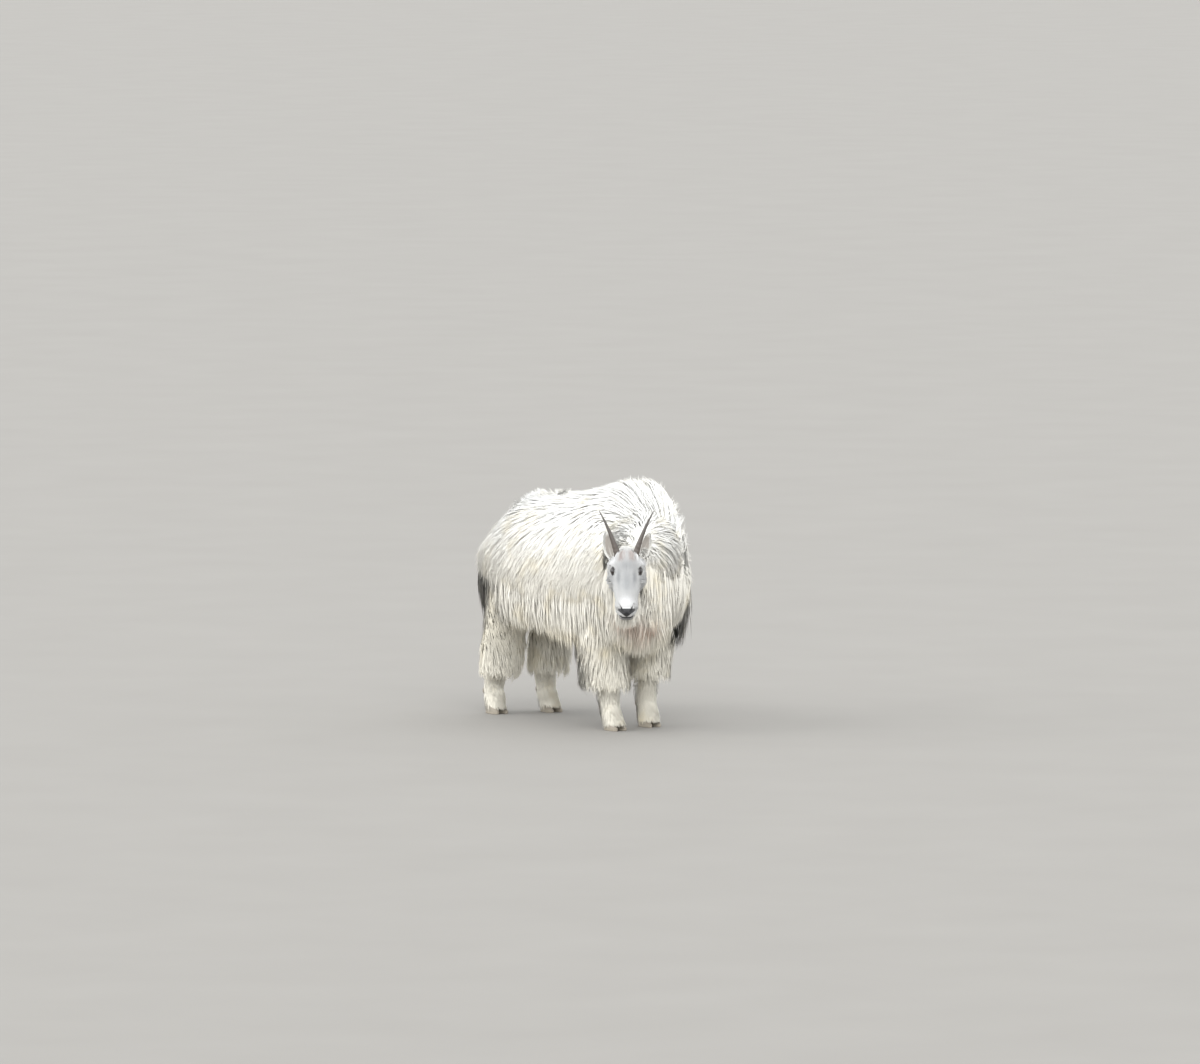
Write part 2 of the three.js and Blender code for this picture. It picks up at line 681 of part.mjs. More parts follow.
// The rim of an eye's two lids, lying over the ball.
function lidRim(side) {
  const ring = new THREE.TorusGeometry(1, 0.5, ...LID_FACETS);
  const points = ring.attributes.position;
  for (let i = 0; i < points.count; i++) {
    const [x, y, z] = [points.getX(i), points.getY(i), points.getZ(i)];
    const out = Math.hypot(x, y);
    const wide = 1 + ((out - 1) * LIDS.thick) / 10;
    const px = (x / out) * (LIDS.long + 1) * wide;
    const py = (y / out) * (LIDS.high + 1) * wide;
    const over = Math.sqrt(Math.max(9, (EYE.radius + 1) ** 2 - px * px - py * py));
    points.setXYZ(i, px, py, over + z * LIDS.thick);
  }
  return solid(atEye(ring, side));
}

// The opening between an eye's lids.
function lidOpening(side) {
  const hole = new THREE.CylinderGeometry(1, 1, 40, LID_FACETS[1]).rotateX(Math.PI / 2).translate(0, 0, 20);
  return solid(atEye(hole.scale(LIDS.long, LIDS.high, 1), side));
}

// A nostril's hollow.
function nostril(side) {
  const hollow = new THREE.SphereGeometry(1, 8, 6).scale(...NOSTRIL.half).rotateY(side * NOSTRIL.tilt);
  return solid(hollow.translate(...sided(side, NOSTRIL.place)));
}

// The groove between the lips: a thin slab outside the outline that the muzzle has that deep.
function mouthGroove() {
  const front = NOSE_END + 6 + MOUTH.deep;
  const half = 35 - MOUTH.deep;
  const outline = new THREE.Shape();
  outline.moveTo(-80, MOUTH.corner);
  outline.lineTo(-half, MOUTH.corner);
  outline.lineTo(-half, front + half);
  outline.absarc(0, front + half, half, Math.PI, 2 * Math.PI);
  outline.lineTo(half, MOUTH.corner);
  outline.lineTo(80, MOUTH.corner);
  outline.lineTo(80, NOSE_END - 30);
  outline.lineTo(-80, NOSE_END - 30);
  const steps = { depth: MOUTH.open, bevelEnabled: false, curveSegments: 5 };
  const slab = new THREE.ExtrudeGeometry(outline, steps).translate(0, -MOUTH.corner, 0).rotateX(MOUTH.slope);
  return solid(slab.translate(0, MOUTH.corner, MOUTH.level));
}

// The tail under its locks.
function tailSolid(wider) {
  const depth = CORE + wider / TAIL.coat;
  return solid(closedSurface((share, turn) => tailPoint(turn, share, depth), TAIL_FACETS));
}

// The space round the tail, behind the rump.
function tailZone(wider) {
  const block = new THREE.BoxGeometry(130 + 2 * wider, 200, 260 + 2 * wider);
  return solid(block.translate(0, 100 + TAIL.parting - wider, 620));
}

// A solid made in the head's axes, moved to its place on the neck.
function onNeck(made) {
  return solid(geometryOf(made).applyMatrix4(HEAD_AXES));
}

// The head with its ears and lids, moved to its place.
function headSolid(wider) {
  const skull = closedSurface((u, turn) => headPoint((crowded(u) + 1) / 2, turn, wider), HEAD_FACETS);
  const ears = Object.keys(SIDES).map((name) => earSolid(name, wider));
  return onNeck(joined([solid(skull), ...ears, ...Object.values(SIDES).map(lidRim)]));
}

// The hollows of the head: the sockets of the eyes and horns, the openings between the lids, the
// nostrils and the groove between the lips.
function headHollows() {
  const hollows = Object.values(SIDES).flatMap((side) => [
    solid(eyeGeometry(side, GAP)),
    lidOpening(side),
    hornSolid(side, GAP),
    nostril(side),
  ]);
  return onNeck(joined([...hollows, mouthGroove()]));
}

// The trunk, neck, head, tail and legs as one body, with the core of the coat.
function wholeBody(wider) {
  const trunk = closedSurface((u, turn) => trunkPoint(crowded(u), turn, CORE, wider), TRUNK_FACETS);
  const neck = closedSurface((u, turn) => neckPoint(lerp(NECK_START, 1, u), turn, CORE, wider), NECK_FACETS);
  const legs = Object.values(LEGS).map((leg) => legSolid(leg, wider));
  return joined([solid(trunk), solid(neck), headSolid(wider), tailSolid(wider), ...legs]);
}

// The space beyond the head's parting.
function headZone(wider) {
  const way = NECK_LINE.getTangent(HEAD_PARTING);
  return beyond(NECK_LINE.getPoint(HEAD_PARTING).addScaledVector(way, -wider), way);
}

// The space round the neck, from the trunk to the head's parting.
function neckZone(wider) {
  const tube = closedSurface((u, turn) => {
    const point = neckPoint(lerp(NECK_PARTING, 1, u), turn, CORE, ZONE_MARGIN + wider);
    return u === 0 ? point.addScaledVector(NECK_LINE.getTangent(NECK_PARTING), -wider) : point;
  }, [6, 16]);
  return solid(tube);
}

// The space round a leg, below its parting and on its own side.
function legZone(leg, wider) {
  const tube = legTube(leg, -10, leg.parting + wider, CORE, ZONE_MARGIN + wider);
  return tube.intersect(beyond(vector(leg.side * (2 - wider), 0, 0), vector(leg.side, 0, 0)));
}

// The space round a leg's cannon and foot, below the core of its coat.
function cannonZone(leg, wider) {
  return legTube(leg, -10, leg.hem + HEM_RISE + wider, 0, CANNON_MARGIN + wider);
}

// The space of each node, in the order in which they are parted. The torso is what is left.
const ZONES = {
  ear_left: (wider) => onNeck(earZone("left", wider)),
  ear_right: (wider) => onNeck(earZone("right", wider)),
  head: headZone,
  neck: neckZone,
  cannon_foreleg_left: (wider) => cannonZone(LEGS.foreleg_left, wider),
  cannon_foreleg_right: (wider) => cannonZone(LEGS.foreleg_right, wider),
  cannon_hindleg_left: (wider) => cannonZone(LEGS.hindleg_left, wider),
  cannon_hindleg_right: (wider) => cannonZone(LEGS.hindleg_right, wider),
  foreleg_left: (wider) => legZone(LEGS.foreleg_left, wider),
  foreleg_right: (wider) => legZone(LEGS.foreleg_right, wider),
  hindleg_left: (wider) => legZone(LEGS.hindleg_left, wider),
  hindleg_right: (wider) => legZone(LEGS.hindleg_right, wider),
  tail: tailZone,
  torso: null,
};

// Whether a point lies within the neck.
function withinNeck(point) {
  for (let share = NECK_START; share <= 1; share += 0.1) {
    const [, , skinSide] = NECK(share);
    if (NECK_LINE.getPoint(share).distanceTo(point) < skinSide + NECK_MARGIN) return true;
  }
  return false;
}

// The trunk's locks: flanks and belly on each side, then the crest, the breast and the withers.
function trunkLocks() {
  const along = (u, v, depth) => trunkPoint(clamp(u, -0.999, 0.999), v, depth);
  const around = (u, v, depth) => trunkPoint(clamp(v, -0.999, 0.999), u, depth);
  const locks = [
    patch(along, { ...CREST, flow: CREST_FLOW }),
    patch(around, { ...WITHERS, flow: CREST_FLOW }),
    patch(around, { ...BREAST, bare: withinNeck }),
  ];
  for (const side of Object.values(SIDES)) {
    const flank = (u, v, depth) => along(u, side * v, depth);
    locks.push(patch(flank, { ...FLANK, flow: FLANK_FLOW, bare: withinNeck }), patch(flank, BELLY));
  }
  return locks.flat();
}

// Locks over a leg's long coat between two levels, in rows from the upper one. reach is how far
// round the leg they go, to each side of its outer face.
function legLocks(leg, [upper, lower], [rows, count], reach, length) {
  const surface = (u, v, depth) => legPoint(leg, v, u, depth);
  const outer = (leg.side * Math.PI) / 2;
  const { width, loose } = CHAPS;
  const spans = { us: [outer - reach, outer + reach], vs: [upper, lower], rows, count, width, length, loose };
  return patch(surface, spans);
}

// The locks of each node.
function locksByNode() {
  const neck = (u, v, depth) => neckPoint(clamp(v, 0, 1), u, depth);
  const locks = { torso: trunkLocks(), neck: patch(neck, { ...RUFF, flow: NECK_FLOW }) };
  locks.neck.push(...patch(neck, THROAT));
  locks.head = patch(jawPoint, JAW);
  locks.tail = patch(tailPoint, BRUSH);
  for (const [name, leg] of Object.entries(LEGS)) {
    const counts = leg.table === HINDLEG ? CHAPS.hind : CHAPS.fore;
    const span = [leg.parting - CHAPS.below, leg.hem + CHAPS.above];
    locks[name] = legLocks(leg, span, counts, Math.PI, CHAPS.length);
    const level = leg.parting + HAUNCH.above;
    locks.torso.push(...legLocks(leg, [level, level], [1, HAUNCH.count], Math.PI / 2, HAUNCH.length));
  }
  return locks;
}

// The body parted into its nodes by thin cuts, each with its locks. A later node gives way to an
// earlier one.
function partedBody() {
  const locks = locksByNode();
  const whole = (name, body, wider) => {
    const zone = ZONES[name];
    const core = zone ? body.intersect(zone(wider)) : body;
    const own = (locks[name] ?? []).map((lock) => lockSolid(lock.surface, lock, wider));
    return joined([core, ...own]);
  };
  const body = wholeBody(0);
  const wide = wholeBody(GAP);
  const nodes = {};
  const taken = [headHollows()];
  for (const name of Object.keys(ZONES)) {
    nodes[name] = largest(whole(name, body, 0).subtract(joined(taken)));
    taken.push(whole(name, wide, GAP));
  }
  return nodes;
}

// Colours and finishes.
const finish = (name, color, roughness) => {
  return new THREE.MeshStandardMaterial({ name, color, roughness, metalness: 0 });
};
const COAT = finish("coat", "#ece6d6", 0.9);
const FACE = finish("face", "#dedfdc", 0.85);
const HORNY = finish("horn", "#3d3836", 0.45);
const HOOF = finish("hoof", "#55504a", 0.6);
const WET = finish("eye", "#2a1d12", 0.1);

// A mesh by name.
function node(name, made, material) {
  const mesh = new THREE.Mesh(geometryOf(made), material);
  mesh.name = name;
  return mesh;
}

const goat = new THREE.Group();

for (const [name, flesh] of Object.entries(partedBody())) {
  const facial = name === "head" || name.startsWith("ear");
  goat.add(node(name, flesh, facial ? FACE : COAT));
}

// Eyes and horns, placed with the head.
const onHead = new THREE.Group();
onHead.position.copy(BETWEEN_EYES);
onHead.rotation.copy(HEAD_ANGLES);
for (const [name, side] of Object.entries(SIDES)) {
  onHead.add(node(`horn_${name}`, hornSolid(side), HORNY));
  onHead.add(node(`eye_${name}`, solid(eyeGeometry(side)), WET));
}
goat.add(onHead);

// Hooves, each placed below its leg.
for (const [name, leg] of Object.entries(LEGS)) {
  const foot = new THREE.Group();
  foot.position.copy(footCentre(leg));
  for (const side of Object.values(SIDES)) {
    foot.add(node(`claw_${name}_${side === leg.side ? "outer" : "inner"}`, clawSolid(side), HOOF));
  }
  goat.add(foot);
}

// The origin is on the ground, below the middle of the whole goat.
goat.updateMatrixWorld(true);
const reach = new THREE.Box3().setFromObject(goat, true);
const middle = reach.getCenter(vector(0, 0, 0));
goat.position.set(-middle.x, -middle.y, 0);

export default goat;
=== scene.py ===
"""A mountain goat nanny in her long winter coat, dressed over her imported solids.

One skin stands for her solids of flesh, and her coat grows from it in tufts that follow the lie
of the hair. Her eyes, horns and hooves are pieces of their own. Metres, +Z up. She faces -Y, so
her left side is +X.
"""

import logging
import math
from dataclasses import dataclass
from enum import Enum
from typing import Callable

import bpy
import numpy as np
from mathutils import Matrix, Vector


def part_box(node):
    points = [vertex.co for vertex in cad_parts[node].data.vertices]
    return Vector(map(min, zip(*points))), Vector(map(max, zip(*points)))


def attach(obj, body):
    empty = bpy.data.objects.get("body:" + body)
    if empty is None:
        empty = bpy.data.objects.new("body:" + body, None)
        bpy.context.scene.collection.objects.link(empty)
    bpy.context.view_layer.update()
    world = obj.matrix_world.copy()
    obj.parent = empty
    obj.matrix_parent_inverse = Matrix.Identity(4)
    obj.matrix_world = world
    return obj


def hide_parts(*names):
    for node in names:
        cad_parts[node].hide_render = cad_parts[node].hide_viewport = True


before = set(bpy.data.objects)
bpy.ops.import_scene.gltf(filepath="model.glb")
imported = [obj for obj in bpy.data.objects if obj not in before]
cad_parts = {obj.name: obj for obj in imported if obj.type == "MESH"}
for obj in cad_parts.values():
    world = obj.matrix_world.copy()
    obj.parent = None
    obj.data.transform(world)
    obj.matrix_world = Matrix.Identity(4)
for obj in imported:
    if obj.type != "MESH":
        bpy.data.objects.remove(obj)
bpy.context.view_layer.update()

Array = np.ndarray
Pair = tuple[float, float]
Triple = tuple[float, float, float]
Object = bpy.types.Object
Tree = bpy.types.NodeTree
Socket = bpy.types.NodeSocket
LOG = logging.getLogger("mountain goat")
BODY = "root"

# The names of the maps and attributes that the finishes read.
TINT = "tint"
BARE = "bare"
NAP = "nap"
HAIR_MAP = "Hair"
BAKE_MAP = "OFBake"

# The ends along Y of her middle line, away from which free-hanging hair faces.
MIDDLE = (-0.30, 0.25)

# Where the left horn comes out of the head, in the head's own axes, and how far round it none of
# the face's fur grows.
HORN_ROOT = (0.029, 0.040, 0.030)
HORN_CLEAR = 0.014

# How many roots are compared with the leaders' at once, to spare memory.
ROOTS_AT_ONCE = 2000

# Each tuft's patch on the bake map, as a share of its side, and the map's clear margin.
BAKE_PATCH = 0.003
BAKE_MARGIN = 0.02


class Side(Enum):
    """A side of the goat, as the sign of X on it."""

    LEFT = 1
    RIGHT = -1

    @property
    def word(self) -> str:
        """The side as it stands in the names of pieces."""
        return self.name.lower()

    @property
    def mirror(self) -> Array:
        """The factors that take points on her left to this side."""
        return np.array([self.value, 1, 1])


def lerp(first: Array | float, last: Array | float, share: Array | float) -> Array | float:
    """The value at a share of the way from the first to the last."""
    return first + (last - first) * share


def smooth(low: float, high: float, value: Array) -> Array:
    """A smooth step from 0 at low to 1 at high, 3t^2 - 2t^3 between them."""
    share = np.clip((value - low) / (high - low), 0, 1)
    return share * share * (3 - 2 * share)


def bell(value: Array, spread: float) -> Array:
    """A bell of height 1 about 0, exp(-(value / spread)^2)."""
    return np.exp(-((value / spread) ** 2))


def unit(vectors: Array) -> Array:
    """Vectors along the last axis, brought to length 1."""
    return vectors / np.maximum(np.linalg.norm(vectors, axis=-1, keepdims=True), 1e-12)


def dot(a: Array, b: Array) -> Array:
    """Dot products along the last axis."""
    return np.sum(a * b, axis=-1)


def bent(value: Array, power: float | Array) -> Array:
    """A sine or cosine made fuller by a power under 1, or more pointed by one over 1."""
    return np.sign(value) * np.abs(value) ** power


def rounded(share: Array, power: float) -> Array:
    """The width of a form with round ends, (1 - |share|^power)^(1 / power), at -1 to 1 along it."""
    return np.maximum(0, 1 - np.abs(share) ** power) ** (1 / power)


def linear(code: str) -> Array:
    """An sRGB hex colour as linear red, green and blue."""
    value = np.array([int(code[i : i + 2], 16) for i in (1, 3, 5)]) / 255
    return np.where(value <= 0.04045, value / 12.92, ((value + 0.055) / 1.055) ** 2.4)


def round_grid(places: Array, around: int) -> tuple[Array, Array]:
    """Places along a form and turns about it as two grids, with around turns to a place."""
    return np.meshgrid(places, np.linspace(0, 2 * np.pi, around, endpoint=False), indexing="ij")


def ball(angle: Array, turn: Array) -> Array:
    """Points of a ball of radius 1, by the angle from its pole and the turn about it."""
    return np.stack([np.sin(angle) * np.cos(turn), np.sin(angle) * np.sin(turn), np.cos(angle)], axis=-1)


def spaced(count: int, low: float, high: float, crowds: tuple[Triple, ...]) -> Array:
    """Places from low to high that crowd round some of them.

    The places' density is 1 plus a bell for each crowd.

    Args:
        count: How many places.
        low: The first place.
        high: The last place.
        crowds: Each crowd's centre, spread and extra density.

    Returns:
        The places, in order.
    """
    fine = np.linspace(low, high, 2000)
    density = 1 + sum(extra * bell(fine - centre, spread) for centre, spread, extra in crowds)
    reached = np.concatenate([[0], np.cumsum((density[1:] + density[:-1]) / 2)])
    return np.interp(np.linspace(0, reached[-1], count), reached, fine)


def even_pairs(count: int, seed: int) -> Array:
    """Pairs in the unit square that fill it evenly, also when only the first of them are taken.

    Multiples of the powers of the plastic number's inverse, from a start set by the seed.
    """
    plastic = 1.32471795724
    start = np.random.default_rng(seed).random(2)
    steps = np.arange(1, count + 1)[:, None] * np.array([1 / plastic, 1 / plastic**2])
    return (start + steps) % 1


@dataclass(frozen=True)
class Stations:
    """A table of stations, read as a smooth function of place.

    Each row is a place and its values. Between two rows the values run on a cubic whose slope at
    a row is the mean of the two chords that meet there.
    """

    rows: tuple[tuple[float, ...], ...]

    def at(self, place: Array) -> Array:
        """The values at places, held at the table's ends.

        Args:
            place: Places of any shape.

        Returns:
            The values, with the columns of the table as the first axis.
        """
        table = np.asarray(self.rows)
        places, values = table[:, 0], table[:, 1:]
        chords = np.diff(values, axis=0) / np.diff(places)[:, None]
        slopes = np.concatenate([chords[:1], (chords[:-1] + chords[1:]) / 2, chords[-1:]])
        held = np.clip(place, places[0], places[-1])
        i = np.clip(np.searchsorted(places, held, side="right") - 1, 0, len(places) - 2)
        width = (places[i + 1] - places[i])[..., None]
        p = (held - places[i])[..., None] / width
        found = (2 * p**3 - 3 * p**2 + 1) * values[i] + (p**3 - 2 * p**2 + p) * width * slopes[i]
        found += (3 * p**2 - 2 * p**3) * values[i + 1] + (p**3 - p**2) * width * slopes[i + 1]
        return np.moveaxis(found, -1, 0)


@dataclass(frozen=True)
class Form:
    """A closed form of the body, as points of two parameters and of a depth in the coat.

    u runs along the form and v is the turn about it in radians. The depth is 0 at the skin and 1
    at the tips of the coat.
    """

    def point(self, u: Array, v: Array, depth: Array | float) -> Array:
        """The point at u, v and depth."""
        raise NotImplementedError

    def tangents(self, u: Array, v: Array, depth: float = 0.5) -> tuple[Array, Array]:
        """How the point moves with u and with v, by differences over a small step."""
        small = 1e-3
        with_u = self.point(u + small, v, depth) - self.point(u - small, v, depth)
        with_v = self.point(u, v + small, depth) - self.point(u, v - small, depth)
        return with_u / (2 * small), with_v / (2 * small)

    def out(self, u: Array, v: Array) -> Array:
        """The way out through the coat, from the skin to the tips."""
        return unit(self.point(u, v, 1.0) - self.point(u, v, 0.0))

    def wool(self, u: Array) -> Array:
        """How deep in the coat the dense wool under the long hair ends."""
        return np.full_like(u, 0.45)

    def level_out(self, u: Array, v: Array, points: Array) -> Array:
        """The level way from her middle line to points, which free-hanging hair faces."""
        away = points - np.array([0.0, 1.0, 0.0]) * np.clip(points[:, 1], *MIDDLE)[:, None]
        return unit(away * np.array([1, 1, 0]))

    def ring_grid(self, us: Array, around: int) -> Array:
        """Points of rings on the wool's surface at us, with around points to each."""
        u, v = round_grid(us, around)
        return self.point(u, v, self.wool(u))


def crowded(steps: int) -> Array:
    """Steps from -1 to 1 that crowd towards both ends, as the sine of even turns."""
    return 0.9999 * np.sin(np.pi * (np.linspace(0, 1, steps) - 0.5))


@dataclass(frozen=True)
class Trunk(Form):
    """The trunk. u runs from -1 at the breast to 1 at the rump, and v is the turn from the spine."""

    breast: Pair = (-0.530, -0.640)
    rump: Pair = (0.455, 0.520)
    # Place along Y, then the skin's top, bottom and half width, the coat's top, bottom and half
    # width, the level at which the trunk is widest, and how steeply its top is roofed.
    rows: Stations = Stations((
        (-0.560, 0.800, 0.470, 0.112, 0.935, 0.345, 0.152, 0.570, 0.95),
        (-0.420, 0.858, 0.440, 0.138, 0.955, 0.325, 0.232, 0.560, 1.00),
        (-0.300, 0.840, 0.432, 0.146, 0.926, 0.318, 0.248, 0.560, 1.05),
        (-0.150, 0.805, 0.430, 0.158, 0.885, 0.322, 0.250, 0.555, 1.10),
        (0.000, 0.790, 0.440, 0.165, 0.865, 0.325, 0.248, 0.550, 1.15),
        (0.150, 0.785, 0.462, 0.160, 0.853, 0.330, 0.242, 0.555, 1.25),
        (0.300, 0.775, 0.480, 0.150, 0.850, 0.340, 0.232, 0.570, 1.50),
        (0.420, 0.722, 0.500, 0.132, 0.768, 0.355, 0.214, 0.580, 1.80),
        (0.500, 0.670, 0.520, 0.110, 0.705, 0.375, 0.190, 0.580, 1.80),
    ))

    def point(self, u: Array, v: Array, depth: Array | float) -> Array:
        """A roofed ellipse at each place, drawn in at both ends by a rounded width."""
        u = np.clip(u, -0.9999, 0.9999)
        front, back = lerp(*self.breast, depth), lerp(*self.rump, depth)
        y = lerp(front, back, (u + 1) / 2)
        top, bottom, half, coat_top, coat_bottom, coat_half, widest, roof = self.rows.at(y)
        end = np.where(u < 0, rounded(u, 4.5), rounded(u, 3))
        upward = np.cos(v)
        above = lerp(top, coat_top, depth) - widest
        below = widest - lerp(bottom, coat_bottom, depth)
        x = lerp(half, coat_half, depth) * end * bent(np.sin(v), np.where(upward > 0, roof, 0.85))
        z = widest + np.where(upward > 0, above, below) * end * upward
        return np.stack([x, y, z], axis=-1) + ORIGIN


@dataclass(frozen=True)
class Neck(Form):
    """The neck. u runs from 0 inside the trunk to 1 inside the skull, and v is the turn."""

    start: float = 0.2
    # Share of the centre line, and its place.
    line: Stations = Stations((
        (0.0, 0.004, -0.230, 0.650),
        (0.2, 0.000, -0.350, 0.655),
        (0.4, -0.028, -0.450, 0.660),
        (0.6, -0.100, -0.535, 0.655),
        (0.8, -0.178, -0.592, 0.648),
        (1.0, -0.205, -0.612, 0.642),
    ))
    # Share, then how far the skin reaches up, down and to each side, and how far the coat does.
    rows: Stations = Stations((
        (0.20, 0.175, 0.180, 0.105, 0.235, 0.280, 0.190),
        (0.44, 0.142, 0.155, 0.092, 0.190, 0.225, 0.165),
        (0.68, 0.098, 0.122, 0.072, 0.130, 0.172, 0.132),
        (0.88, 0.058, 0.098, 0.052, 0.078, 0.128, 0.086),
        (1.00, 0.046, 0.080, 0.044, 0.058, 0.096, 0.062),
    ))

    def centre(self, u: Array) -> Array:
        """The centre line's points."""
        return np.moveaxis(self.line.at(u), 0, -1) + ORIGIN

    def point(self, u: Array, v: Array, depth: Array | float) -> Array:
        """An ellipse square to the centre line, with its own reach up, down and aside."""
        u = np.clip(u, 0, 1)
        up, down, side, coat_up, coat_down, coat_side = self.rows.at(u)
        ahead = unit(self.centre(u + 0.01) - self.centre(u - 0.01))
        left = unit(np.cross(np.array([0.0, 0.0, 1.0]), ahead))
        over = np.cross(ahead, left)
        upward = np.cos(v)
        rise = np.where(upward > 0, lerp(up, coat_up, depth), lerp(down, coat_down, depth)) * upward
        aside = lerp(side, coat_side, depth) * np.sin(v)
        return self.centre(u) + left * aside[..., None] + over * rise[..., None]

    def wool(self, u: Array) -> Array:
        """None where the neck enters the skull."""
        return 0.50 * (1 - smooth(0.66, 0.84, u))

    def holds(self, points: Array, margin: float) -> Array:
        """Whether points lie within the neck's sides and a margin."""
        shares = np.linspace(self.start, 1, 12)
        away = np.linalg.norm(points[:, None] - self.centre(shares)[None], axis=-1)
        return np.any(away < self.rows.at(shares)[2] + margin, axis=1)


@dataclass(frozen=True)
class Leg(Form):
    """A leg. u is the level, v is the turn from behind, and the coat ends at the hem."""

    side: Side
    rows: Stations
    along: float
    aside: float
    hem: float
    parting: float
    ankle: float = 0.040
    top: float = 0.500

    def point(self, u: Array, v: Array, depth: Array | float) -> Array:
        """A level ellipse at each level. The foot is moved along and aside, the leg's top isn't."""
        x, y, across, fore, coat_across, coat_fore, behind = self.rows.at(u)
        moved = 1 - np.clip((u - self.ankle) / (self.top - self.ankle), 0, 1)
        x = self.side.value * (x + self.aside * moved) + lerp(across, coat_across, depth) * np.sin(v)
        y = y + behind * depth + self.along * moved + lerp(fore, coat_fore, depth) * np.cos(v)
        return np.stack([x, y, u + 0 * x], axis=-1) + ORIGIN

    def wool(self, u: Array) -> Array:
        """None below the hem, nor at the top, where the trunk's coat falls over the leg."""
        reach = 1 - smooth(self.parting - 0.110, self.parting - 0.020, u)
        return 0.35 * smooth(self.hem + 0.010, self.hem + 0.070, u) * reach

    def level_out(self, u: Array, v: Array, points: Array) -> Array:
        """The level way out of the leg."""
        return unit(self.out(u, v) * np.array([1, 1, 0]))

    def fade(self) -> Pair:
        """The levels between which the leg's coat grows shallow towards its top."""
        return self.parting, self.parting + 0.140

    def foot(self) -> Array:
        """The ground below the middle of the leg's end."""
        ends = self.point(np.full(2, self.ankle), np.array([0, np.pi]), 0.0)
        return ends.mean(axis=0) * np.array([1, 1, 0])


@dataclass(frozen=True)
class Tail(Form):
    """The tail, a flat leaf against the rump. u runs from its root to its tip."""

    root: Triple = (0, 0.455, 0.715)
    tip: Triple = (0, 0.548, 0.560)
    wide: float = 0.044
    thick: float = 0.026
    coat: float = 0.022
    core: float = 0.42

    def wool(self, u: Array) -> Array:
        """The tail has none."""
        return 0 * u

    def point(self, u: Array, v: Array, depth: Array | float) -> Array:
        """A level ellipse at each share, drawn in towards the tip by a rounded width."""
        u = np.clip(u, 0, 1)
        end = rounded(lerp(-0.6, 0.9999, u), 3)
        grown = self.coat * (np.asarray(depth) - self.core)
        across = (self.wide * end + grown) * np.sin(v)
        over = (self.thick * end + grown) * np.cos(v)
        centre = lerp(np.array(self.root), np.array(self.tip), u[..., None])
        return centre + np.stack([across, over, 0 * across], axis=-1) + ORIGIN


# Level, the centre's place aside and along Y, then half the width across and half of it fore and
# aft, first as skin and then as the long coat, and how far the coat's middle lies behind the skin's.
FORELEG = Stations((
    (0.030, 0.090, -0.368, 0.034, 0.040, 0.039, 0.045, 0.000),
    (0.040, 0.090, -0.366, 0.034, 0.040, 0.040, 0.046, 0.000),
    (0.062, 0.092, -0.356, 0.033, 0.037, 0.044, 0.050, 0.002),
    (0.095, 0.094, -0.345, 0.034, 0.038, 0.058, 0.070, 0.006),
    (0.150, 0.096, -0.343, 0.032, 0.035, 0.098, 0.116, 0.024),
    (0.200, 0.098, -0.343, 0.033, 0.036, 0.101, 0.122, 0.026),
    (0.262, 0.104, -0.342, 0.036, 0.040, 0.103, 0.124, 0.024),
    (0.310, 0.112, -0.335, 0.034, 0.040, 0.104, 0.126, 0.018),
    (0.390, 0.124, -0.325, 0.037, 0.046, 0.122, 0.132, 0.010),
    (0.480, 0.130, -0.335, 0.046, 0.068, 0.124, 0.130, 0.000),
    (0.585, 0.128, -0.385, 0.052, 0.092, 0.094, 0.118, 0.000),
))
HINDLEG = Stations((
    (0.030, 0.098, 0.366, 0.032, 0.038, 0.037, 0.043, 0.000),
    (0.040, 0.098, 0.368, 0.032, 0.038, 0.038, 0.044, 0.000),
    (0.062, 0.098, 0.376, 0.031, 0.036, 0.041, 0.048, 0.000),
    (0.095, 0.096, 0.382, 0.032, 0.037, 0.048, 0.058, -0.008),
    (0.150, 0.092, 0.380, 0.029, 0.033, 0.076, 0.106, -0.032),
    (0.200, 0.090, 0.372, 0.030, 0.034, 0.082, 0.114, -0.036),
    (0.262, 0.092, 0.362, 0.033, 0.042, 0.084, 0.116, -0.034),
    (0.310, 0.095, 0.335, 0.035, 0.046, 0.080, 0.110, -0.020),
    (0.380, 0.105, 0.290, 0.042, 0.058, 0.084, 0.116, -0.006),
    (0.470, 0.120, 0.250, 0.054, 0.088, 0.092, 0.126, 0.000),
    (0.560, 0.118, 0.265, 0.062, 0.108, 0.096, 0.132, 0.000),
    (0.660, 0.098, 0.290, 0.062, 0.110, 0.092, 0.128, 0.000),
))
LEGS = {
    "foreleg_left": Leg(Side.LEFT, FORELEG, along=0.030, aside=0.0, hem=0.190, parting=0.415),
    "foreleg_right": Leg(Side.RIGHT, FORELEG, along=0.0, aside=0.0, hem=0.160, parting=0.415),
    "hindleg_left": Leg(Side.LEFT, HINDLEG, along=-0.062, aside=0.004, hem=0.158, parting=0.500),
    "hindleg_right": Leg(Side.RIGHT, HINDLEG, along=0.012, aside=0.0, hem=0.148, parting=0.500),
}


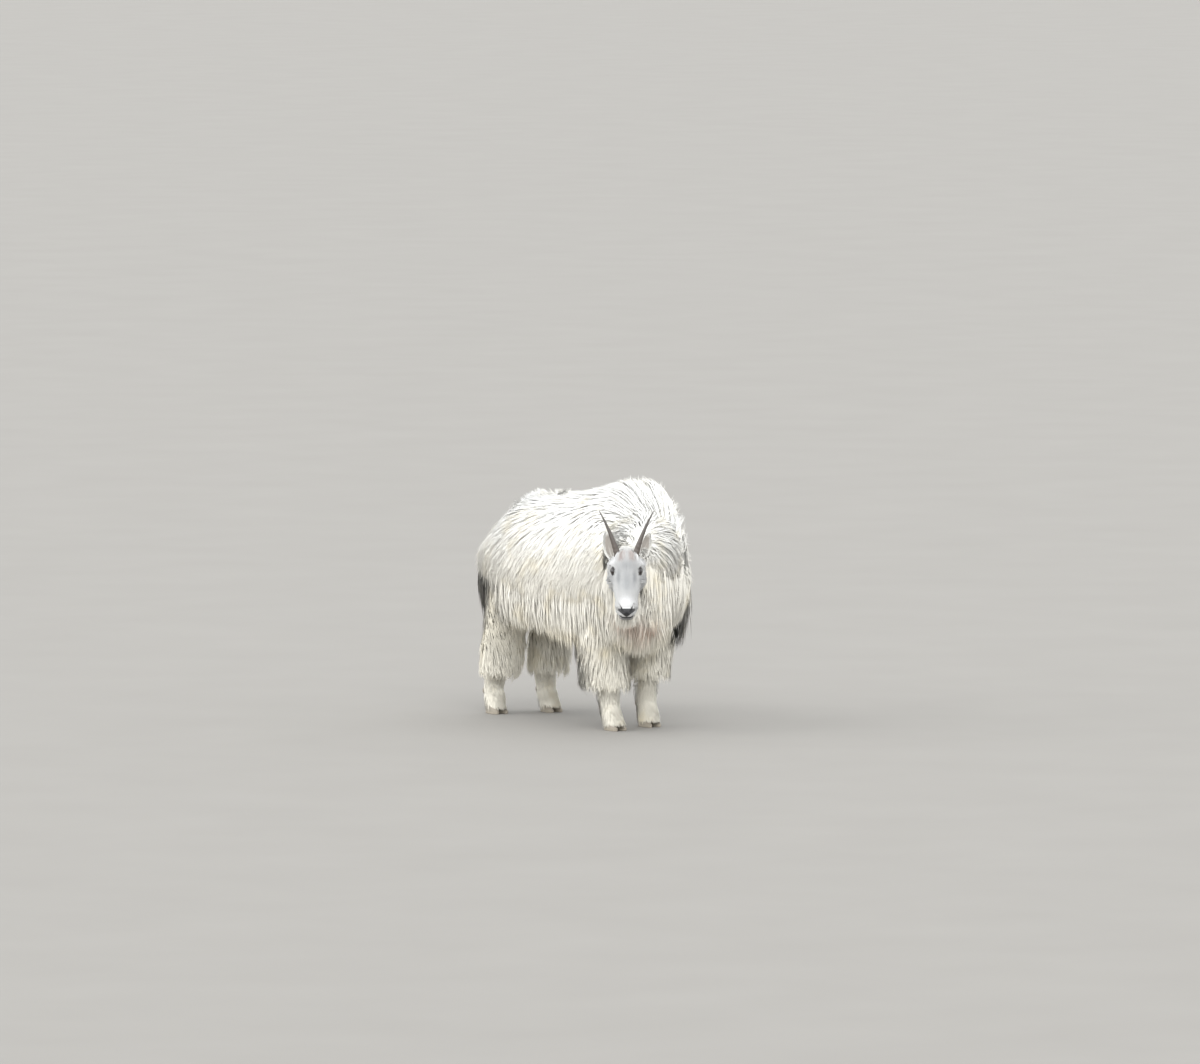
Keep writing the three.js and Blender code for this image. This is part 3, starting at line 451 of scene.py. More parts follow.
@dataclass(frozen=True)
class Eye:
    """An eye, in the head's own axes on her left: its ball and the opening between its lids."""

    radius: float = 0.0155
    place: Triple = (0.043, -0.005, 0.015)
    sight: Triple = (0.76, -0.27, 0.59)
    slit: Triple = (0.25, 1.0, 0.15)
    # From the middle of the opening to its corner at the nose, its back corner, and its two lids.
    opening: tuple[float, float, float, float] = (0.0150, 0.0130, 0.0122, 0.0104)
    # How far the upper and the lower lid stand out from the ball.
    lids: Pair = (0.0030, 0.0022)
    iris: float = 0.0088
    pupil: Pair = (0.0052, 0.0018)

    def axes(self) -> Array:
        """Its axes as columns: back along the slit, up the forehead, and the way it looks."""
        sight = unit(np.array(self.sight))
        back = unit(np.array(self.slit) - sight * dot(sight, np.array(self.slit)))
        return np.stack([back, np.cross(sight, back), sight], axis=-1)

    def beside(self, points: Array) -> Array:
        """How far points lie from the middle of the opening, 1 at the rim of its lids.

        Args:
            points: Points in the head's own axes, on her left.

        Returns:
            (|a / A|^1.5 + |b / B|^1.9)^(1 / 1.7), with a along the slit and b across it.
        """
        own = (points - np.array(self.place)) @ self.axes()
        nose, back, upper, lower = self.opening
        a = np.abs(own[..., 0]) / np.where(own[..., 0] < 0, nose, back)
        b = np.abs(own[..., 1]) / np.where(own[..., 1] > 0, upper, lower)
        found = (a**1.5 + b**1.9) ** (1 / 1.7)
        return np.where(own[..., 2] > 0, found, 9.0)


@dataclass(frozen=True)
class Head(Form):
    """The head. u runs from 0 at the nose to 1 at the poll, and v is the turn from the forehead.

    In the head's own axes X is her left, Y runs back from the nose to the poll and Z comes out of
    the forehead, all from the point between the eyes.
    """

    between_eyes: Triple = (-0.238, -0.650, 0.613)
    slope: float = math.radians(46)
    turned: float = math.radians(-36)
    nose: float = -0.190
    poll: float = 0.098
    # How far the skin and the tips of the fur lie from the face that the rows give.
    fur: Pair = (-0.003, 0.010)
    eye: Eye = Eye()
    # Place along Y, then the level of the top, of the underside, the half width, and the level at
    # which the head is widest.
    rows: Stations = Stations((
        (-0.190, 0.014, -0.060, 0.0345, -0.015),
        (-0.155, 0.021, -0.062, 0.0370, -0.014),
        (-0.120, 0.025, -0.058, 0.0365, -0.015),
        (-0.090, 0.027, -0.059, 0.0380, -0.018),
        (-0.060, 0.032, -0.072, 0.0440, -0.018),
        (-0.030, 0.039, -0.086, 0.0520, -0.008),
        (0.000, 0.047, -0.093, 0.0600, 0.006),
        (0.025, 0.051, -0.094, 0.0590, 0.002),
        (0.060, 0.046, -0.086, 0.0550, -0.008),
        (0.098, 0.024, -0.062, 0.0460, -0.010),
    ))
    # Where each swelling or hollow is on her left, how far it spreads and how far it stands out:
    # brow, hollow under the eye, cheek, side of the bridge, upper lip, forehead and chin.
    forms: tuple[tuple[float, ...], ...] = (
        (0.050, 0.014, 0.030, 0.017, 0.0060),
        (0.046, -0.034, -0.002, 0.016, -0.0050),
        (0.050, -0.022, -0.036, 0.024, 0.0040),
        (0.030, -0.062, 0.022, 0.020, -0.0025),
        (0.022, -0.146, -0.014, 0.017, 0.0040),
        (0.000, 0.022, 0.052, 0.026, 0.0030),
        (0.000, -0.150, -0.044, 0.016, 0.0030),
    )
    # Nostril: its place, half its length and width, the way it slants, its depth and its rim.
    nostril: Pair = (0.0165, 0.003)
    nostril_half: Pair = (0.0085, 0.0034)
    nostril_slant: float = math.radians(38)
    nostril_deep: float = 0.008
    nostril_rim: float = 0.0014
    # Mouth: its corner along Y, its level there, how it rises to the nose, how deep and how wide
    # its groove is, then how far the lips swell, how far from the groove and how wide.
    corner: float = -0.108
    level: float = -0.030
    rise: float = math.tan(math.radians(5))
    mouth_deep: float = 0.0046
    mouth_wide: float = 0.0019
    lip: float = 0.0010
    lip_apart: float = 0.0045
    lip_wide: float = 0.0035
    # The cleft of the upper lip: how deep and how wide, and the levels over which it starts and ends.
    cleft_deep: float = 0.0012
    cleft_wide: float = 0.0013
    cleft_levels: tuple[float, float, float, float] = (-0.026, -0.022, -0.006, 0.004)
    # How deep the crease over the upper lid is, and how far the opening lies behind the ball.
    crease: float = 0.0013
    behind_ball: float = 0.003

    def axes(self) -> Array:
        """Its axes as the columns of a matrix: tilted about X, then turned about Z."""
        c, s = math.cos(self.slope), math.sin(self.slope)
        tilt = np.array([[1, 0, 0], [0, c, -s], [0, s, c]])
        c, s = math.cos(self.turned), math.sin(self.turned)
        return np.array([[c, -s, 0], [s, c, 0], [0, 0, 1]]) @ tilt

    def placed(self, own: Array) -> Array:
        """Points in the head's own axes, moved to their place."""
        return own @ self.axes().T + np.array(self.between_eyes) + ORIGIN

    def own(self, points: Array) -> Array:
        """Points in their place, in the head's own axes."""
        return (points - np.array(self.between_eyes) - ORIGIN) @ self.axes()

    def own_left(self, points: Array) -> Array:
        """Points in their place, in the head's own axes, with her right side laid on her left."""
        own = self.own(points)
        own[..., 0] = np.abs(own[..., 0])
        return own

    def plain(self, u: Array, v: Array, proud: Array | float) -> Array:
        """The head in its own axes, without nostrils, lips and lids.

        A full ellipse at each place, with round ends, set out by its soft forms and by proud.
        """
        y = lerp(self.nose, self.poll, u)
        top, bottom, half, widest = self.rows.at(y)
        end = rounded(2 * u - 1, 4.5)
        upward = np.cos(v)
        x = half * end * bent(np.sin(v), 0.85)
        z = widest + np.where(upward > 0, top - widest, widest - bottom) * end * bent(upward, 0.9)
        chin = 0.10 * np.maximum(0, -z - 0.034) * np.clip((-0.090 - y) / 0.080, 0, 1)
        swell = np.asarray(proud)
        for form_x, form_y, form_z, spread, out in self.forms:
            away = np.sqrt((np.abs(x) - form_x) ** 2 + (y - form_y) ** 2 + (z - form_z) ** 2)
            swell = swell + out * bell(away, spread)
        push = 1 + swell / np.maximum(np.hypot(x, z - widest), 1e-4)
        return np.stack([x * push, y + chin, widest + (z - widest) * push], axis=-1)

    def mouth_level(self, y: Array) -> Array:
        """The level of the line between the lips at places along Y."""
        return self.level + np.maximum(0, self.corner - y) * self.rise

    def nostril_share(self, own: Array) -> Array:
        """How far points on her left lie from the nostril's middle, 1 at its rim."""
        across, up = own[..., 0] - self.nostril[0], own[..., 2] - self.nostril[1]
        c, s = math.cos(self.nostril_slant), math.sin(self.nostril_slant)
        long, short = self.nostril_half
        found = np.hypot((across * c + up * s) / long, (up * c - across * s) / short)
        return np.where(own[..., 1] < -0.150, found, 9.0)

    def detailed(self, own: Array) -> Array:
        """Adds nostrils, lips and lids to points of the plain head.

        A nostril is pressed back within its rim, the lips part along a groove, and round an eye
        the skin lies at its lids' distance from the ball, or behind the ball in the opening.
        """
        sign = np.where(own[..., :1] < 0, -1, 1) * np.array([1, 0, 0]) + np.array([0, 1, 1])
        p = own * sign
        q = self.nostril_share(p)
        pressed = self.nostril_deep * (1 - smooth(0.55, 1.15, q))
        p[..., 1] += pressed - self.nostril_rim * bell(q - 1.6, 0.5)

        y, z = p[..., 1], p[..., 2]
        level = self.mouth_level(y)
        core = np.stack([0 * y, np.maximum(y, -0.155), level], axis=-1)
        lips = self.mouth_deep * bell(z - level, self.mouth_wide)
        lips -= self.lip * (bell(z - level - self.lip_apart, self.lip_wide)
                            + bell(z - level + self.lip_apart, self.lip_wide))
        lips *= 1 - smooth(self.corner - 0.008, self.corner + 0.004, y)
        cleft = self.cleft_deep * bell(p[..., 0], self.cleft_wide)
        cleft *= 1 - smooth(*self.cleft_levels[2:], z)
        cleft *= smooth(*self.cleft_levels[:2], z) * (1 - smooth(-0.172, -0.160, y))
        p = p - unit(p - core) * (lips + cleft)[..., None]

        away = p - np.array(self.eye.place)
        ball = np.linalg.norm(away, axis=-1)
        q = self.eye.beside(p)
        above = smooth(-0.002, 0.002, away @ self.eye.axes()[:, 1])
        rim = self.eye.radius + lerp(self.eye.lids[1], self.eye.lids[0], above)
        reached = lerp(ball, rim, 1 - smooth(1.1, 2.2, q))
        reached = reached - self.crease * bell(q - 1.75, 0.2) * above
        reached = lerp(reached, self.eye.radius - self.behind_ball, 1 - smooth(0.93, 1.04, q))
        p = np.array(self.eye.place) + away * (reached / ball)[..., None]
        return p * sign

    def point(self, u: Array, v: Array, depth: Array | float) -> Array:
        """The head in its place, with every detail."""
        return self.placed(self.detailed(self.plain(u, v, lerp(*self.fur, depth))))

    def rings(self) -> Array:
        """Places along the head for its rings.

        They are even across the round end of the nose and of the poll, and crowd at the muzzle and
        at the eyes.
        """
        nose = (1 - np.linspace(0.03, 0.80, 26) ** 4.5) ** (1 / 4.5)
        poll = (1 - np.linspace(0.80, 0.10, 8) ** 4.5) ** (1 / 4.5)
        first, last = (1 - nose) / 2, (1 + poll) / 2
        crowds = ((0.10, 0.08, 0.8), (0.652, 0.07, 1.3))
        return np.concatenate([first, spaced(176, first[-1], last[0], crowds)[1:-1], last])

    def skin(self) -> Array:
        """Points of the skin's rings, which crowd at the height of the eyes and of the mouth."""
        crowds = tuple((math.radians(at), math.radians(32), 0.9) for at in (82, 278))
        turns = spaced(241, 0, 2 * np.pi, crowds)[:-1]
        return self.point(*np.meshgrid(self.rings(), turns, indexing="ij"), 0.0)


@dataclass(frozen=True)
class Ear(Form):
    """An ear, a leaf whose edges curl forwards. u runs from its root to its tip.

    The turn goes up the inside of its cup and back over its outside. It leans its own way, given
    as for a left ear.
    """

    head: Head
    side: Side
    lean: Triple
    root: Triple = (0.047, 0.062, 0.004)
    opening: Triple = (0.62, -0.25, 0.74)
    length: float = 0.108
    wide: float = 0.027
    thick: float = 0.0034
    # Half the turn that the leaf curls through, its factors at root and tip, where on a half wave
    # the leaf's width starts at its root, and the share of its radius that the cup is set out by.
    cup: float = 1.05
    curls: Pair = (1.5, 0.75)
    stem: float = 0.16
    set_in: float = 0.6
    # How deep the folds inside the cup are, and how close they follow each other.
    fold: float = 0.0014
    folds: float = 8.0
    fur: Pair = (-0.0004, 0.005)

    def axes(self) -> Array:
        """Its axes on her left as columns: across the leaf, towards its tip, out of its cup."""
        ahead = unit(np.array(self.lean))
        across = unit(np.cross(ahead, np.array(self.opening)))
        return np.stack([across, ahead, np.cross(across, ahead)], axis=-1)

    def leaf(self, u: Array) -> tuple[Array, Array]:
        """Half the leaf's width at shares of its length, and half the turn that it curls through."""
        return (self.wide * np.sin(np.pi * lerp(self.stem, 1, u**0.9)) ** 0.8,
                self.cup * lerp(*self.curls, u))

    def cupped(self, u: Array, v: Array, grown: Array | float) -> Array:
        """An arc of a circle at each share, with the thickness of the leaf about it."""
        half, curl = self.leaf(u)
        edge = np.sin(v) * curl * (1 + 2 * grown / np.maximum(half, 0.006))
        fold = self.fold * np.cos(self.folds * np.sin(v)) * np.clip(-np.cos(v), 0, 1) * (1 - u)
        radius = half / curl + np.cos(v) * (self.thick / 2 + grown) - fold
        across, out = radius * np.sin(edge), half / curl * self.set_in - radius * np.cos(edge)
        return np.stack([across, self.length * u, out], axis=-1)

    def wool(self, u: Array) -> Array:
        """An ear has none."""
        return 0 * u

    def within(self, points: Array) -> Array:
        """How far points lie inside the ear's cup, 1 on its inner face between root and tip."""
        own = self.head.own(points) * self.side.mirror - np.array(self.root)
        across, along, out = np.moveaxis(own @ self.axes(), -1, 0)
        u = np.clip(along / self.length, 0, 1)
        half, curl = self.leaf(u)
        middle = half / curl
        reached = np.hypot(across, middle * self.set_in - out)
        share = 1 - smooth(-0.0008, 0.0002, reached - middle)
        share = share * (1 - smooth(0.70, 0.98, np.abs(across) / np.maximum(half, 1e-4)))
        share = share * smooth(0.02, 0.15, u) * (1 - smooth(0.80, 0.98, u))
        return share * (np.abs(along / self.length - 0.5) < 0.5)

    def point(self, u: Array, v: Array, depth: Array | float) -> Array:
        """The ear in its place."""
        u = np.clip(u, 0, 0.995)
        own = self.cupped(u, v, lerp(*self.fur, depth)) @ self.axes().T + np.array(self.root)
        return self.head.placed(own * self.side.mirror)


def frame_origin(head: Head) -> Array:
    """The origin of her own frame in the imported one, from where the solids have her eyes."""
    boxes = [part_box(f"eye_{side.word}") for side in Side]
    middles = [np.mean([list(corner) for corner in box], axis=0) for box in boxes]
    eyes = np.array(head.eye.place) * np.array([0, 1, 1])
    return np.mean(middles, axis=0) - (eyes @ head.axes().T + np.array(head.between_eyes))


HEAD = Head()
ORIGIN = frame_origin(HEAD)
TRUNK = Trunk()
NECK = Neck()
TAIL = Tail()
EARS = {
    Side.LEFT: Ear(HEAD, Side.LEFT, lean=(0.34, 0.84, 0.40)),
    Side.RIGHT: Ear(HEAD, Side.RIGHT, lean=(0.26, 0.85, 0.38)),
}


@dataclass(frozen=True)
class Mark:
    """A patch of colour that fades out from its middle as a bell."""

    place: Triple
    spread: Triple
    colour: str
    strength: float

    def over(self, tint: Array, points: Array) -> Array:
        """Tints with this patch laid over them."""
        away = np.linalg.norm((points - np.array(self.place)) / np.array(self.spread), axis=-1)
        return lerp(tint, linear(self.colour), (self.strength * bell(away, 1.0))[..., None])


@dataclass(frozen=True)
class Markings:
    """The colours of skin and coat alike, by place on her body.

    Creamy white, whiter on the back and yellower down the flanks and legs, with painted shade under
    the belly. The face is a cooler white with grey on its bridge, painted shade in the hollows beside
    the bridge and under the eyes and under the chin, and a painted highlight on the top of the muzzle.
    The nose, lips and lids are bare and dark, with painted shade deep in the nostrils.
    """

    back: str = "#FEFDF8"
    flank: str = "#F9F5E9"
    leg: str = "#F5F0E1"
    face: str = "#CECECC"
    bare: str = "#16171B"
    # Painted shade deep in the nostrils: nearly black, darker than the bare leather of the nose.
    nostril: str = "#050506"
    lid: str = "#2E2B2A"
    ear: str = "#B3ACA4"
    # How far the face's colours reach from between the eyes: aside, along it and out of it.
    face_reach: Triple = (0.11, 0.20, 0.13)
    # The nose pad's outline, square to the nose: its half width at levels from its lower point up.
    pad_levels: tuple[float, ...] = (-0.1595, -0.1560, -0.1460, -0.1360, -0.1300)
    pad_halves: tuple[float, ...] = (0.0015, 0.0070, 0.0200, 0.0320, 0.0315)
    # How the pad's levels run along the head's Y and Z, how soft its edge is, the spans over which
    # it starts and ends by level, and the span along Y over which it ends.
    pad_axis: Pair = (0.777, 0.629)
    pad_soft: float = 0.0012
    pad_start: Pair = (-0.1605, -0.1580)
    pad_end: Pair = (-0.1300, -0.1275)
    pad_back: Pair = (-0.150, -0.144)
    # The dark lips: how far below their line and how wide, the spans along Y and aside over which
    # they end, and what is left of them beyond the second.
    lips_below: float = 0.0022
    lips_wide: float = 0.0078
    lips_back: Pair = (-0.112, -0.104)
    lips_aside: Pair = (0.024, 0.033)
    lips_left: float = 0.25
    # The spans over which the lids' rims and the nostrils' inside end, 1 at the eye's opening and
    # at the nostril's rim. The nostrils' inside takes painted shade, nearly black, deep in them.
    lid_edge: Pair = (1.25, 1.50)
    nostril_edge: Pair = (0.75, 1.05)
    # The levels over which flanks go over into the back and legs into the flanks, the span behind
    # the eyes over which the face goes over into the coat, and that at the face's reach.
    back_levels: Pair = (0.50, 0.82)
    flank_levels: Pair = (0.16, 0.42)
    face_back: Pair = (0.030, 0.085)
    face_edge: Pair = (0.95, 1.25)
    body_marks: tuple[Mark, ...] = (
        Mark((-0.195, -0.600, 0.402), (0.050, 0.080, 0.024), "#A2663F", 0.90),
        Mark((-0.115, -0.600, 0.364), (0.056, 0.080, 0.026), "#A2663F", 0.95),
        # Painted shade: a darker tan along the underside of the belly and the tops of the legs at its
        # level, where shade falls.
        Mark((0.000, 0.000, 0.330), (0.300, 0.500, 0.060), "#D9CDAE", 0.45),
        Mark((0.000, 0.480, 0.560), (0.100, 0.090, 0.120), "#E3D6B4", 0.45),
        Mark((0.000, 0.330, 0.420), (0.400, 0.130, 0.140), "#EAE1C8", 0.40),
    )
    face_marks: tuple[Mark, ...] = (
        Mark((0.000, -0.008, 0.046), (0.026, 0.020, 0.030), "#A0A1A3", 0.70),
        Mark((0.046, 0.016, 0.036), (0.013, 0.012, 0.020), "#FAFAFA", 0.85),
        Mark((0.000, -0.075, 0.030), (0.017, 0.055, 0.020), "#A9ABAD", 0.65),
        # Painted shade: a narrow grey stripe in the hollow along the side of the bridge.
        Mark((0.023, -0.058, 0.026), (0.0055, 0.034, 0.016), "#85888D", 0.80),
        # Painted shade: grey in the hollow under the eye.
        Mark((0.044, -0.034, 0.006), (0.011, 0.018, 0.020), "#9C9FA3", 0.45),
        Mark((0.060, 0.000, -0.030), (0.018, 0.055, 0.040), "#F6F5F1", 0.85),
        # Painted highlight: pure white over the top of the muzzle above the nose.
        Mark((0.000, -0.160, 0.018), (0.034, 0.024, 0.018), "#FFFFFF", 0.95),
        Mark((0.024, -0.184, -0.020), (0.012, 0.014, 0.008), "#FFFFFF", 0.85),
        Mark((0.019, 0.021, 0.053), (0.011, 0.010, 0.015), "#8C6C60", 0.85),
        # Painted shade: bluish grey under the chin.
        Mark((0.000, -0.184, -0.048), (0.022, 0.020, 0.010), "#B9BBBF", 0.50),
    )

    def coat(self, points: Array) -> Array:
        """The colour of the body's hair at points, as linear red, green and blue, with painted shade
        under the belly.
        """
        own = points - ORIGIN
        tint = lerp(linear(self.flank), linear(self.back), smooth(*self.back_levels, own[..., 2:]))
        tint = lerp(linear(self.leg), tint, smooth(*self.flank_levels, own[..., 2:]))
        for mark in self.body_marks:
            tint = mark.over(tint, own)
        return tint

    def facial(self, points: Array) -> Array:
        """The colour of the face's hair at points, which goes over into the coat behind the horns, with
        a painted highlight on the muzzle and painted shade beside the bridge, under the eyes and under
        the chin.
        """
        own = HEAD.own_left(points)
        tint = np.broadcast_to(linear(self.face), own.shape)
        for mark in self.face_marks:
            tint = mark.over(tint, own)
        return lerp(tint, self.coat(points), smooth(*self.face_back, own[..., 1:2]))

    def bareness(self, points: Array) -> tuple[Array, Array, Array]:
        """Where the skin is bare.

        Args:
            points: Points of the skin, in place.

        Returns:
            Shares for the leather of the nose and lips, the lids' rims, and the nostrils' inside, which
            takes painted shade.
        """
        own = HEAD.own_left(points)
        x, y, z = np.moveaxis(own, -1, 0)
        level = self.pad_axis[0] * y + self.pad_axis[1] * z
        half = np.interp(level, self.pad_levels, self.pad_halves)
        pad = 1 - smooth(-self.pad_soft, self.pad_soft, x - half)
        pad = pad * smooth(*self.pad_start, level) * (1 - smooth(*self.pad_end, level))
        pad = pad * (1 - smooth(*self.pad_back, y))
        lips = bell(z - HEAD.mouth_level(y) + self.lips_below, self.lips_wide)
        lips = lips * (1 - smooth(*self.lips_back, y))
        lips = lips * (1 - (1 - self.lips_left) * smooth(*self.lips_aside, x))
        lids = 1 - smooth(*self.lid_edge, HEAD.eye.beside(own))
        inside = 1 - smooth(*self.nostril_edge, HEAD.nostril_share(own))
        near = (np.abs(y) < 0.2) & (np.abs(z) < 0.12)
        return tuple(np.where(near, share, 0) for share in (np.maximum(pad, lips), lids, inside))

    def skin(self, points: Array) -> tuple[Array, Array]:
        """The colour of the skin at points, and how bare it is."""
        away = np.linalg.norm(HEAD.own(points) / self.face_reach, axis=-1, keepdims=True)
        tint = lerp(self.facial(points), self.coat(points), smooth(*self.face_edge, away))
        leather, lids, inside = self.bareness(points)
        cups = np.max([ear.within(points) for ear in EARS.values()], axis=0)
        # Inside the nostrils the colour laid over is painted shade.
        shares = ((cups, self.ear), (lids, self.lid), (leather, self.bare), (inside, self.nostril))
        for share, colour in shares:
            tint = lerp(tint, linear(colour), share[..., None])
        return tint, np.maximum(leather, lids)


MARKINGS = Markings()


def new_object(name: str, data: bpy.types.ID) -> Object:
    """A new object in the scene, at the origin."""
    made = bpy.data.objects.new(name, data)
    bpy.context.scene.collection.objects.link(made)
    return made


@dataclass(frozen=True)
class Shape:
    """A mesh as arrays: its points, and its faces in groups by the count of their corners."""

    points: Array
    faces: tuple[Array, ...]

    def build(self, name: str) -> Object:
        """Makes the mesh and its object, at the origin, with smooth faces."""
        mesh = bpy.data.meshes.new(name)
        mesh.vertices.add(len(self.points))
        mesh.vertices.foreach_set("co", self.points.astype(np.float32).ravel())
        corners = np.concatenate([faces.ravel() for faces in self.faces])
        sides = np.concatenate([np.full(len(faces), faces.shape[1]) for faces in self.faces])
        mesh.loops.add(len(corners))
        mesh.loops.foreach_set("vertex_index", corners.astype(np.int32))
        mesh.polygons.add(len(sides))
        starts = np.concatenate([[0], np.cumsum(sides)[:-1]])
        mesh.polygons.foreach_set("loop_start", starts.astype(np.int32))
        mesh.update(calc_edges=True)
        mesh.shade_smooth()
        return new_object(name, mesh)


def closed(grid: Array) -> Shape:
    """A closed surface through rings of points, with a flat fan over each end.

    Args:
        grid: Points by ring and place round it. The rings run along the form, and each goes round
            it anticlockwise as seen from ahead, or the other way where the form needs it.

    Returns:
        The surface, with its faces pointing out whichever way the rings go.
    """
    rings, around, _ = grid.shape
    at = np.arange(rings * around).reshape(rings, around)
    beside = np.roll(at, -1, axis=1)
    quads = np.stack([at[:-1], beside[:-1], beside[1:], at[1:]], axis=-1).reshape(-1, 4)
    first, last = rings * around, rings * around + 1
    fans = [np.stack([np.full(around, first), beside[0], at[0]], axis=-1),
            np.stack([np.full(around, last), at[-1], beside[-1]], axis=-1)]
    ends = np.stack([grid[0].mean(axis=0), grid[-1].mean(axis=0)])
    points = np.concatenate([grid.reshape(-1, 3), ends])
    a, b, c, d = (points[quads[:, i]] - points.mean(axis=0) for i in range(4))
    if np.sum(dot(np.cross(b - a, d - a), a + c)) < 0:
        quads, fans = quads[:, ::-1], [fan[:, ::-1] for fan in fans]
    return Shape(points, (quads, np.concatenate(fans)))


def set_attribute(made: Object, name: str, kind: str, values: Array,
                  domain: str = "POINT") -> None:
    """Stores values at the points of an object's mesh, or at the corners of its faces.

    Args:
        made: The object.
        name: The attribute's name.
        kind: FLOAT, FLOAT_VECTOR or FLOAT_COLOR. Colours get an alpha of 1.
        values: One value for each point or corner.
        domain: POINT or CORNER.
    """
    key = {"FLOAT": "value", "FLOAT_VECTOR": "vector", "FLOAT_COLOR": "color"}[kind]
    if kind == "FLOAT_COLOR":
        values = np.concatenate([values, np.ones((len(values), 1))], axis=1)
    attribute = made.data.attributes.new(name, kind, domain)
    attribute.data.foreach_set(key, values.astype(np.float32).ravel())


def set_map(made: Object, name: str, values: Array) -> None:
    """Adds a UV map that gives each point of an object's mesh its own place."""
    corners = np.empty(len(made.data.loops), np.int32)
    made.data.loops.foreach_get("vertex_index", corners)
    layer = made.data.uv_layers.new(name=name)
    layer.uv.foreach_set("vector", values[corners].astype(np.float32).ravel())


def points_of(made: Object) -> Array:
    """The points of an object's mesh."""
    found = np.empty(3 * len(made.data.vertices), np.float32)
    made.data.vertices.foreach_get("co", found)
    return found.reshape(-1, 3).astype(float)


@dataclass(frozen=True)
class Skin:
    """One skin over trunk, neck, head, ears, legs and tail, with the dense wool under the coat."""

    voxel: float = 0.008
    smoothing: int = 6
    # A hair's breadth across the lie, as wide as it can still show, and ten times that along it,
    # for the body and in the head's own axes, and how far back the head's reaches.
    body_nap: Triple = (0.0016, 0.0016, 0.016)
    face_nap: Triple = (0.0009, 0.009, 0.0009)
    face_end: float = 0.100

    def shells(self) -> list[Shape]:
        """The closed forms of the body, which overlap."""
        trunk = closed(TRUNK.ring_grid(crowded(64), 96))
        neck = closed(NECK.ring_grid(np.linspace(NECK.start, 1, 32), 64))
        tail = closed(TAIL.ring_grid(np.linspace(0, 1, 24), 32))
        legs = []
        for leg in LEGS.values():
            low, high = leg.rows.rows[0][0], leg.rows.rows[-1][0]
            legs.append(closed(leg.ring_grid(np.linspace(low, high, 80), 40)))
        return [trunk, neck, tail, *legs]

    def body(self) -> Object:
        """The body without its head: its forms drawn over by one surface, then smoothed."""
        shells = self.shells()
        starts = np.cumsum([0] + [len(shell.points) for shell in shells])
        quads = np.concatenate([s.faces[0] + start for s, start in zip(shells, starts)])
        fans = np.concatenate([s.faces[1] + start for s, start in zip(shells, starts)])
        points = np.concatenate([shell.points for shell in shells])
        body = Shape(points, (quads, fans)).build("body_under_coat")
        drawn = body.modifiers.new("drawn over", "REMESH")
        drawn.mode = "VOXEL"
        drawn.voxel_size = self.voxel
        softer = body.modifiers.new("softer", "SMOOTH")
        softer.factor = 0.5
        softer.iterations = self.smoothing
        return body

    def build(self) -> Object:
        """Joins the body, the head and the ears, and gives every point its colour and its nap."""
        parts = [self.body()]
        for side, ear in EARS.items():
            grid = ear.ring_grid(0.992 * np.sin(np.linspace(0.02, np.pi / 2, 64)), 56)
            parts.append(closed(grid).build(f"ear_under_coat_{side.word}"))
        skin = closed(HEAD.skin()).build("skin")
        for part in parts:
            union = skin.modifiers.new(part.name, "BOOLEAN")
            union.operation = "UNION"
            union.solver = "MANIFOLD"
            union.object = part
        settle(skin)
        for part in parts:
            bpy.data.objects.remove(part)
        points = points_of(skin)
        tint, bare = MARKINGS.skin(points)
        set_attribute(skin, TINT, "FLOAT_COLOR", tint)
        set_attribute(skin, BARE, "FLOAT", bare)
        set_attribute(skin, NAP, "FLOAT_VECTOR", self.nap(points))
        return skin

    def nap(self, points: Array) -> Array:
        """Places for a pattern that is drawn out along the lie: down the body, back on the face."""
        own = HEAD.own(points)
        return np.where(own[:, 1:2] < self.face_end, own / self.face_nap, points / self.body_nap)


def settle(made: Object) -> None:
    """Applies an object's modifiers to its mesh."""
    graph = bpy.context.evaluated_depsgraph_get()
    mesh = bpy.data.meshes.new_from_object(made.evaluated_get(graph), depsgraph=graph)
    made.modifiers.clear()
    old = made.data
    made.data = mesh
    bpy.data.meshes.remove(old)
    mesh.name = made.name
    mesh.shade_smooth()


